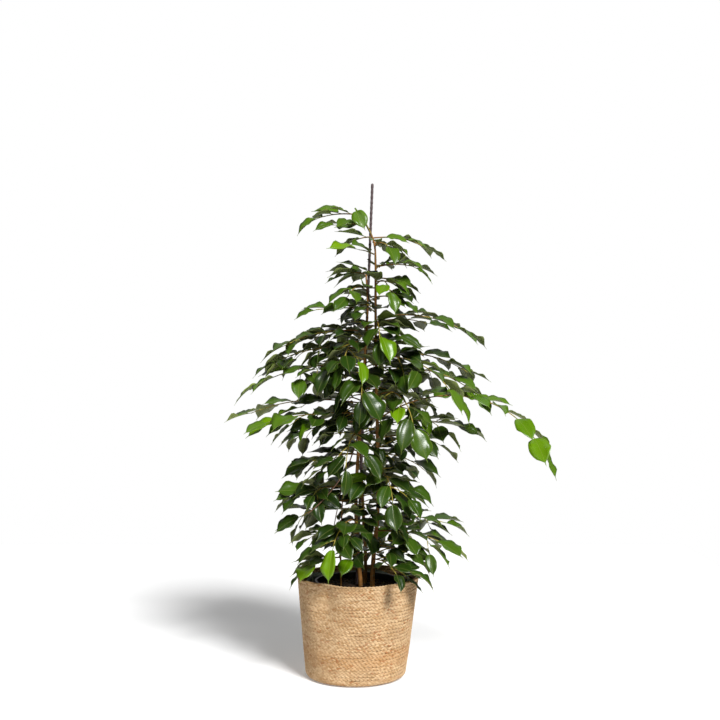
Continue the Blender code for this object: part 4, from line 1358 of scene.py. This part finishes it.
def rowFrame(run, count, inset, reach=0.002):
    # Centre line of a row with its sideways and outward directions.
    turns = [math.tau * place / count for place in range(count)]
    middle = np.array([wallSpot(turn, run, inset) for turn in turns])
    upper = np.array([wallSpot(turn, run + reach, inset) for turn in turns])
    lower = np.array([wallSpot(turn, max(run - reach, 0.0001), inset) for turn in turns])
    side = unitRows(upper - lower)
    forward = unitRows(np.roll(middle, -1, axis=0) - np.roll(middle, 1, axis=0))
    return middle, side, unitRows(np.cross(forward, side))


def unitRows(rows):
    return rows / np.linalg.norm(rows, axis=1, keepdims=True)


def smoothDraws(draw, count, every):
    # Random values between 0 and 1 that change smoothly round a closed row.
    knots = [draw.random() for _ in range(max(3, count // every))]
    spots = np.arange(count) / count * len(knots)
    return np.interp(spots, range(len(knots) + 1), knots + knots[:1])


def braidRow(draw, middle, side, out, periods, phase, sides, size=1.0):
    # Three strands that pass over and under each other; each is a closed ring of its own.
    count = len(middle)
    turn = np.arange(count) / count * math.tau * periods + weave["drift"] * smoothDraws(draw, count, 34)
    stray = (smoothDraws(draw, count, 9) - 0.5)[:, None] * weave["stray"]
    points, tones, quads, mapped = [], [], [], []
    for strand in range(3):
        angle = turn + phase + strand * math.tau / 3
        swing = np.sin(angle)[:, None] * weave["swing"] * size
        lift = np.sin(2 * angle)[:, None] * weave["lift"] * size
        centre = middle + side * (swing + stray) + out * lift
        forward = unitRows(np.roll(centre, -1, axis=0) - np.roll(centre, 1, axis=0))
        across = unitRows(np.cross(out, forward))
        up = np.cross(forward, across)
        swell = (1 + weave["swell"] * (smoothDraws(draw, count, 5) - 0.5))[:, None] * size
        first = len(points) * count * sides
        rings = []
        for corner in range(sides):
            around = math.tau * corner / sides + 0.3
            rings.append(centre + across * swell * weave["strandWidth"] * math.cos(around)
                         + up * swell * weave["strandHeight"] * math.sin(around))
        points.append(np.stack(rings, axis=1).reshape(-1, 3))
        pale = smoothDraws(draw, count, 7)
        ruddy = smoothDraws(draw, count, 6) > 0.87
        # The third value is how high the strand lies, which the straw material turns into painted shade where it dives
        # under.
        values = np.stack([pale, ruddy.astype(float), (np.sin(2 * angle) + 1) / 2, np.full(count, draw.random())], 1)
        tones.append(np.repeat(values, sides, axis=0))
        index = np.arange(count)[:, None] * sides
        after = (np.arange(count)[:, None] + 1) % count * sides
        corner = np.arange(sides)[None, :]
        nextCorner = (corner + 1) % sides
        quads.append((first + np.stack([index + corner, index + nextCorner, after + nextCorner, after + corner], -1)
                      ).reshape(-1, 4))
        along = np.arange(count)[:, None] * weave["strandPeriod"] / (count / periods) * 100
        ahead = along + weave["strandPeriod"] / (count / periods) * 100
        low = np.broadcast_to(corner / sides, (count, sides))
        high = low + 1 / sides
        along, ahead = (np.broadcast_to(value, (count, sides)) for value in (along, ahead))
        mapped.append(np.stack([np.stack([along, low], -1), np.stack([along, high], -1),
                                np.stack([ahead, high], -1), np.stack([ahead, low], -1)], 2).reshape(-1, 2))
    return np.concatenate(points), np.concatenate(tones), np.concatenate(quads), np.concatenate(mapped)


def joinBraids(name, rows, material):
    # All rows of one stretch of the basket in one mesh, with their colours and their straw's direction.
    points, tones, quads, mapped = zip(*rows)
    firsts = np.cumsum([0] + [len(line) for line in points[:-1]])
    corners = [line + first for line, first in zip(quads, firsts)]
    thing = meshFromArrays(name, np.concatenate(points), np.concatenate(corners))
    paintPoints(thing, "strawTone", np.concatenate(tones))
    mapCorners(thing, "strawMap", np.concatenate(mapped))
    finishPiece(thing, material, "straw", "basket")


def weaveRow(draw, run, inset, phase, samples, sides, size=1.0, facing="out"):
    # One row of braid at a run along the outside, with its face turned out, in or up.
    periods = periodsAt(run)
    middle, side, out = rowFrame(run, periods * samples, inset)
    side, out = {"out": (side, out), "in": (side, -out), "up": (-out, side)}[facing]
    return braidRow(draw, middle, side, out, periods, phase, sides, size)


def periodsAt(run):
    spot = wallSpot(0.0, run)
    return max(3, round(math.tau * math.hypot(spot.x, spot.y) / weave["strandPeriod"]))


def makeBasket(material, backingMaterial):
    draw = random.Random(seeds["braid"])
    fine, coarse = (weave["samples"], weave["sides"]), (weave["coarseSamples"], weave["coarseSides"])
    height, pitch = basket["height"], weave["pitch"]
    lowest = weave["lift"] + weave["strandHeight"] * (1 + weave["swell"] / 2)
    wall = [weaveRow(draw, runAtHeight(weave["firstRow"] + row * pitch), lowest, draw.uniform(0, math.tau), *fine)
            for row in range(weave["outerRows"])]
    third = len(wall) // 3
    for name, rows in (("low", wall[:third]), ("middle", wall[third:2 * third]), ("top", wall[2 * third:])):
        joinBraids("basket_weave_" + name, rows, material)
    inner = [weaveRow(draw, runAtHeight(height - weave["innerTop"] - row * pitch), basket["wall"] - weave["innerLift"],
                      draw.uniform(0, 6), *coarse, weave["innerSize"], "in") for row in range(weave["innerRows"])]
    inner.append(weaveRow(draw, runAtHeight(height - weave["rimDrop"]), basket["wall"] / 2, 0.0, *fine,
                          weave["rimSize"], "up"))
    joinBraids("basket_rim_and_inside", inner, material)
    base = [weaveRow(draw, weave["baseFirst"] + row * weave["basePitch"], lowest, draw.uniform(0, 6), *coarse)
            for row in range(weave["baseRows"])]
    joinBraids("basket_base", base, material)
    makeBacking(backingMaterial)
    print("basket woven:", weave["outerRows"], "rows of braid")


def makeBacking(material):
    # A thin closed shell behind the braid, which shows as the dark between the strands.
    top = runAtHeight(basket["height"] - weave["backing"])
    thing = wrapGrid("basket_backing", *weave["backingGrid"],
                     lambda u, v: wallSpot(u * math.tau, v * top, weave["backing"]))
    applyModifier(thing, "SOLIDIFY", thickness=weave["backingThickness"], offset=-1)
    thing.data.shade_smooth()
    finishPiece(thing, material, "straw", "basket")


def strawMaterial():
    # Braided rush straw: flat dried stems, matt with a faint silky gleam along the fibre. Pale beige,
    # here and there sun-bleached or orange-brown, with painted shade where a strand dives under its neighbour.
    material, tree, place = startMaterial("braidedStraw", {"IOR": 1.45, "Specular IOR Level": 0.35})
    tone = addNode(tree, "Attribute", attribute_name="strawTone")
    pale, ruddy, lift = addNode(tree, "SeparateColor", {"Color": tone}).outputs
    height = addNode(tree, "SeparateXYZ", {"Vector": place}).outputs[2]
    # Fibres 0.3 mm wide run along each strand.
    drawn = addNode(tree, "Mapping", {"Vector": addNode(tree, "UVMap", uv_map="strawMap"), "Scale": (3.0, 14.0, 1.0)})
    fibres = addNode(tree, "TexNoise", {"Vector": drawn, "Scale": 1.0, "Detail": 2.0})
    clouds, = scatter(tree, place, 35)
    streaks, above, below, cloud, deep = fadeIn(tree, (fibres, 0.5, 0.8), (height, 0.030, 0.045),
                                                (height, 0.078, 0.062), (clouds, 0.40, 0.70), (lift, 0.55, 0.0))
    band = addNode(tree, "Math", {0: above, 1: below}, operation="MULTIPLY")
    # The last layer is painted shade: darker brown where a strand lies low under its neighbour.
    colour = layerColours(tree, "#ab8455", (pale, 1, "#d6b78f"), (streaks, 0.5, "#e3cbae"), (band, 0.28, "#b07a3e"),
                          (ruddy, 0.60, "#9c5c2a"), (cloud, 0.30, "#a98f6e"), (deep, 0.45, "#7d5a30"))
    dressShader(tree, colour, (fibres, 0.25, 0.58), (fibres, 0.0005, 0.6))
    return material


def backingMaterial():
    # The shaded side of the same straw and its jute sewing thread, 1.5 mm thick.
    material, tree, place = startMaterial("shadedJute", {})
    drawn = addNode(tree, "Mapping", {"Vector": place, "Scale": (1000 / 1.5, 1000 / 1.5, 2000 / 1.5)})
    fibres = addNode(tree, "TexNoise", {"Vector": drawn, "Scale": 1.0, "Detail": 3.0})
    colour = layerColours(tree, "#6e5231", (fibres, 1, "#9a7747"))
    dressShader(tree, colour, (fibres, 0.0, 0.9), (fibres, 0.0008, 1.0))
    return material


# Liner, nursery pot and soil.

fineLiner = {"around": 150, "along": 30, "crease": 0.0016, "creaseSize": 0.020, "thickness": 0.0004,
             "floorShare": 0.2, "footInset": 0.012, "inset": 0.007, "topInset": 0.004}


def makeLiner(material):
    # Thin film, gathered round the pot: the CAD liner's own waves with small sharp creases over them.
    floor = basket["wall"] + gap + gap
    foot = basket["baseRadius"] - basket["wall"] - fineLiner["footInset"]
    flat = fineLiner["floorShare"]

    def place(u, v):
        azimuth = u * math.tau
        if v < flat:
            return Vector((foot * v / flat * math.cos(azimuth), foot * v / flat * math.sin(azimuth), floor))
        climb = (v - flat) / (1 - flat)
        z = floor + (liner["top"] - floor) * climb
        radius = basketRadius(azimuth, z) - basket["wall"] - fineLiner["inset"] - fineLiner["topInset"] * climb
        radius += liner["ripple"] * climb * math.sin(liner["ripples"] * azimuth + 4 * climb)
        radius = foot + (radius - foot) * min(climb / 0.12, 1.0)
        spot = Vector((radius * math.cos(azimuth) + basketShift(z), radius * math.sin(azimuth), z))
        crease = 1 - 2 * abs(noise.noise(spot / fineLiner["creaseSize"]))
        crease += 0.5 * (1 - 2 * abs(noise.noise(spot / fineLiner["creaseSize"] * 2.3)))
        push = (crease - 0.9) * fineLiner["crease"] * climb
        spot.x += push * math.cos(azimuth)
        spot.y += push * math.sin(azimuth)
        spot.z += liner["edgeWave"] * math.sin(5 * azimuth + 1) * climb ** 6
        return spot

    thing = wrapGrid("pot_liner", fineLiner["around"], fineLiner["along"], place)
    applyModifier(thing, "SOLIDIFY", thickness=fineLiner["thickness"], offset=-1)
    thing.data.shade_smooth()
    finishPiece(thing, material, "film", "liner")


def filmMaterial():
    # Blown polyethylene film: thin and milky grey, with hard bright creases.
    material, tree, place = startMaterial("polyFilm", {"IOR": 1.51, "Specular IOR Level": 0.7})
    cloud, creases = scatter(tree, place, 18, 5)
    colour = layerColours(tree, "#565f5c", (cloud, 1, "#a3aca8"))
    dressShader(tree, colour, (cloud, 0.2, 0.18), (creases, 0.0012, 0.7))
    return material


# The lip's points are given by how far out of its edge and how far below its top they lie.
finePot = {"segments": 96, "heights": (0.06, 0.12, 0.17), "lipDrop": 0.005,
           "lip": ((0.0, 0.0048), (0.0008, 0.002), (0.0, 0.0002), (-0.0015, 0.0))}


def makePot(material):
    # A thermoformed pot: one profile from the middle of its floor, out, up, over the turned lip and back.
    floor = potFloor()
    top = floor + nurseryPot["height"]
    wall = nurseryPot["wall"]
    lip = potRadius(top) + nurseryPot["lip"]
    profile = [(0, floor), (potRadius(floor) - 0.004, floor), (potRadius(floor), floor + 0.004)]
    profile += [(potRadius(z), z) for z in (*finePot["heights"], top - finePot["lipDrop"])]
    profile += [(lip + aside, top - down) for aside, down in finePot["lip"]]
    profile += [(potRadius(top) - wall, top - 0.0004)]
    profile += [(potRadius(z) - wall, z) for z in (top - 0.004, *reversed(finePot["heights"]))]
    profile += [(potRadius(floor) - wall, floor + 0.005), (potRadius(floor) - 0.006, floor + wall), (0, floor + wall)]

    def place(u, v):
        radius, z = profile[round(v * (len(profile) - 1))]
        turn = u * math.tau
        return Vector((radius * math.cos(turn) + nurseryPot["shift"], radius * math.sin(turn), z))

    thing = wrapGrid("nursery_pot_fine", finePot["segments"], len(profile) - 1, place)
    selectOnly(thing)
    bpy.ops.object.shade_smooth_by_angle(angle=math.radians(50))
    finishPiece(thing, material, "black_plastic", "nursery_pot")


def potMaterial():
    # Thermoformed polypropylene: black, slightly dusty, satin where it bends.
    material, tree, place = startMaterial("thermoformedPot", {"IOR": 1.49})
    dust, grain = scatter(tree, place, 16, 1.2)
    dusty, = fadeIn(tree, (dust, 0.45, 0.8))
    colour = layerColours(tree, "#121213", (dusty, 1, "#2b2825"))
    dressShader(tree, colour, (dust, 0.3, 0.30), (grain, 0.0002, 0.5))
    return material


earth = {
    "around": 80,
    "across": 30,
    "lump": 0.0020,
    "lumpSize": 0.008,
    "fineLumpSize": 0.0035,
    "fall": 0.0015,
    "crumbs": 340,
    "chips": 26,
    "crumbSize": (0.0011, 0.0030),
    "crumbForm": (1.0, 1.0, 0.8),
    "chipForm": (2.4, 0.9, 0.45),
    "crumbTilt": 0.5,
    "crumbLift": 0.35,
    "crumbRough": (0.75, 1.15),
}


def soilHeight(x, y):
    # Small lumps all over and a slight fall towards the pot's wall.
    radius = math.hypot(x - nurseryPot["shift"], y) / nurseryPot["rimRadius"]
    lumps = noise.noise(Vector((x, y, 0)) / earth["lumpSize"])
    lumps += 0.5 * noise.noise(Vector((x, y, 0.3)) / earth["fineLumpSize"])
    return soil["top"] - earth["fall"] * radius ** 4 + lumps * earth["lump"] * 0.6


def makeSoil(material):
    # The soil's plug: its crumbly top, then down inside the pot's wall to the floor.
    slack = nurseryPot["wall"] * 1.05 + gap
    floor = potFloor() + nurseryPot["wall"] + gap
    edge = potRadius(soil["top"]) - slack

    def place(u, v):
        turn = u * math.tau
        across = v / 0.9
        if across <= 1.0001:
            x = edge * across * math.cos(turn) + nurseryPot["shift"]
            y = edge * across * math.sin(turn)
            return Vector((x, y, soilHeight(x, y) if across < 0.99 else soil["top"] - 0.002))
        radius = potRadius(floor) - slack if v < 0.96 else 0.0
        return Vector((radius * math.cos(turn) + nurseryPot["shift"], radius * math.sin(turn), floor))

    thing = wrapGrid("potting_soil", earth["around"], earth["across"], place)
    thing.data.shade_smooth()
    finishPiece(thing, material, "soil", "soil")
    makeCrumbs(material, edge)


def makeCrumbs(material, edge):
    # Loose crumbs of peat and a few bark chips on top, copies of one small faceted lump.
    bpy.ops.object.select_all(action="DESELECT")
    bpy.ops.mesh.primitive_ico_sphere_add(subdivisions=1, radius=1)
    corners, faces = takeShape()
    draw = random.Random(seeds["crumbs"])
    points, triangles, tones = [], [], []
    for number in range(earth["crumbs"]):
        reach = (edge - 0.004) * math.sqrt(draw.random())
        turn = draw.uniform(0, math.tau)
        x, y = reach * math.cos(turn) + nurseryPot["shift"], reach * math.sin(turn)
        chip = number < earth["chips"]
        size = draw.uniform(*earth["crumbSize"])
        scale = Vector([size * share for share in earth["chipForm" if chip else "crumbForm"]])
        tilt = earth["crumbTilt"]
        spin = Quaternion((0, 0, 1), draw.uniform(0, math.tau)) @ Quaternion((1, 0, 0), draw.uniform(-tilt, tilt))
        middle = Vector((x, y, soilHeight(x, y) + size * earth["crumbLift"]))
        triangles += [[len(points) + index for index in face] for face in faces]
        for corner in corners:
            points.append(middle + spin @ (corner * draw.uniform(*earth["crumbRough"]) * scale))
            tones.append((draw.uniform(0, 0.5), 1.0 if chip else 0.0, 0.0, 1.0))
    mesh = bpy.data.meshes.new("soil_crumbs")
    mesh.from_pydata(points, [], triangles)
    thing = bpy.data.objects.new("soil_crumbs", mesh)
    bpy.context.scene.collection.objects.link(thing)
    paintPoints(thing, "crumbTone", tones)
    finishPiece(thing, material, "soil", "soil")


def soilMaterial():
    # Damp potting peat: nearly black, matt, with browner crumbs and bark chips.
    material, tree, place = startMaterial("pottingPeat", {"Specular IOR Level": 0.3})
    tone = addNode(tree, "Attribute", attribute_name="crumbTone")
    brown, chip, _ = addNode(tree, "SeparateColor", {"Color": tone}).outputs
    crumb, grain = scatter(tree, place, 3.5, 1.6)
    colour = layerColours(tree, "#17110c", (crumb, 1, "#3a2a1c"), (brown, 1, "#4a3626"), (chip, 0.8, "#6b4a2c"))
    dressShader(tree, colour, (crumb, 0.0, 0.92), (grain, 0.0015, 1.0))
    return material


# The plant and its pot are made.

layout = Layout()
layout.placeTwigs()
layout.placeLeaves()
print("main leaves:", sum(len(leaves) for leaves in layout.leaves))
fillCrown(layout)
brightenLeaves(layout)

waxyLeaf = leafMaterial()
youngShoot = twigMaterial()
template = leafTemplate()
for number, row in enumerate(branches):
    node = f"branch_{number + 1:02d}"
    slotName = "leaf_fresh" if row[9] >= 0.6 else "leaf_dark"
    leavesPiece = makeLeaves(f"leaves_{number + 1:02d}", layout.leaves[number], template)
    finishPiece(leavesPiece, waxyLeaf, slotName, node)
    twigPiece = makeTwig(f"twig_{number + 1:02d}", number, layout.twigs[number], layout.sides[number])
    finishPiece(twigPiece, youngShoot, "bark", node)
print("leaves and twigs made")

for name in layout.shoots:
    leavesPiece = makeLeaves("inner_leaves_" + name, layout.shootLeaves[name], template)
    finishPiece(leavesPiece, waxyLeaf, "leaf_dark")
    twigPiece = makeTwig("inner_twigs_" + name, -1, layout.shoots[name][0], layout.shoots[name][1:])
    finishPiece(twigPiece, youngShoot, "bark")

figBark = barkMaterial()
for stemName in stems:
    finishPiece(makeTrunk(stemName, stems[stemName]), figBark, "bark", "stem_" + stemName)
finishPiece(makeCane(), stakeMaterial(), "cane", "cane")
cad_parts["plant_clip"].material_slots[0].material = clipMaterial()
print("trunks, stake and clip made")

makeBasket(strawMaterial(), backingMaterial())
makeLiner(filmMaterial())
makePot(potMaterial())
makeSoil(soilMaterial())
print("liner, pot and soil made")
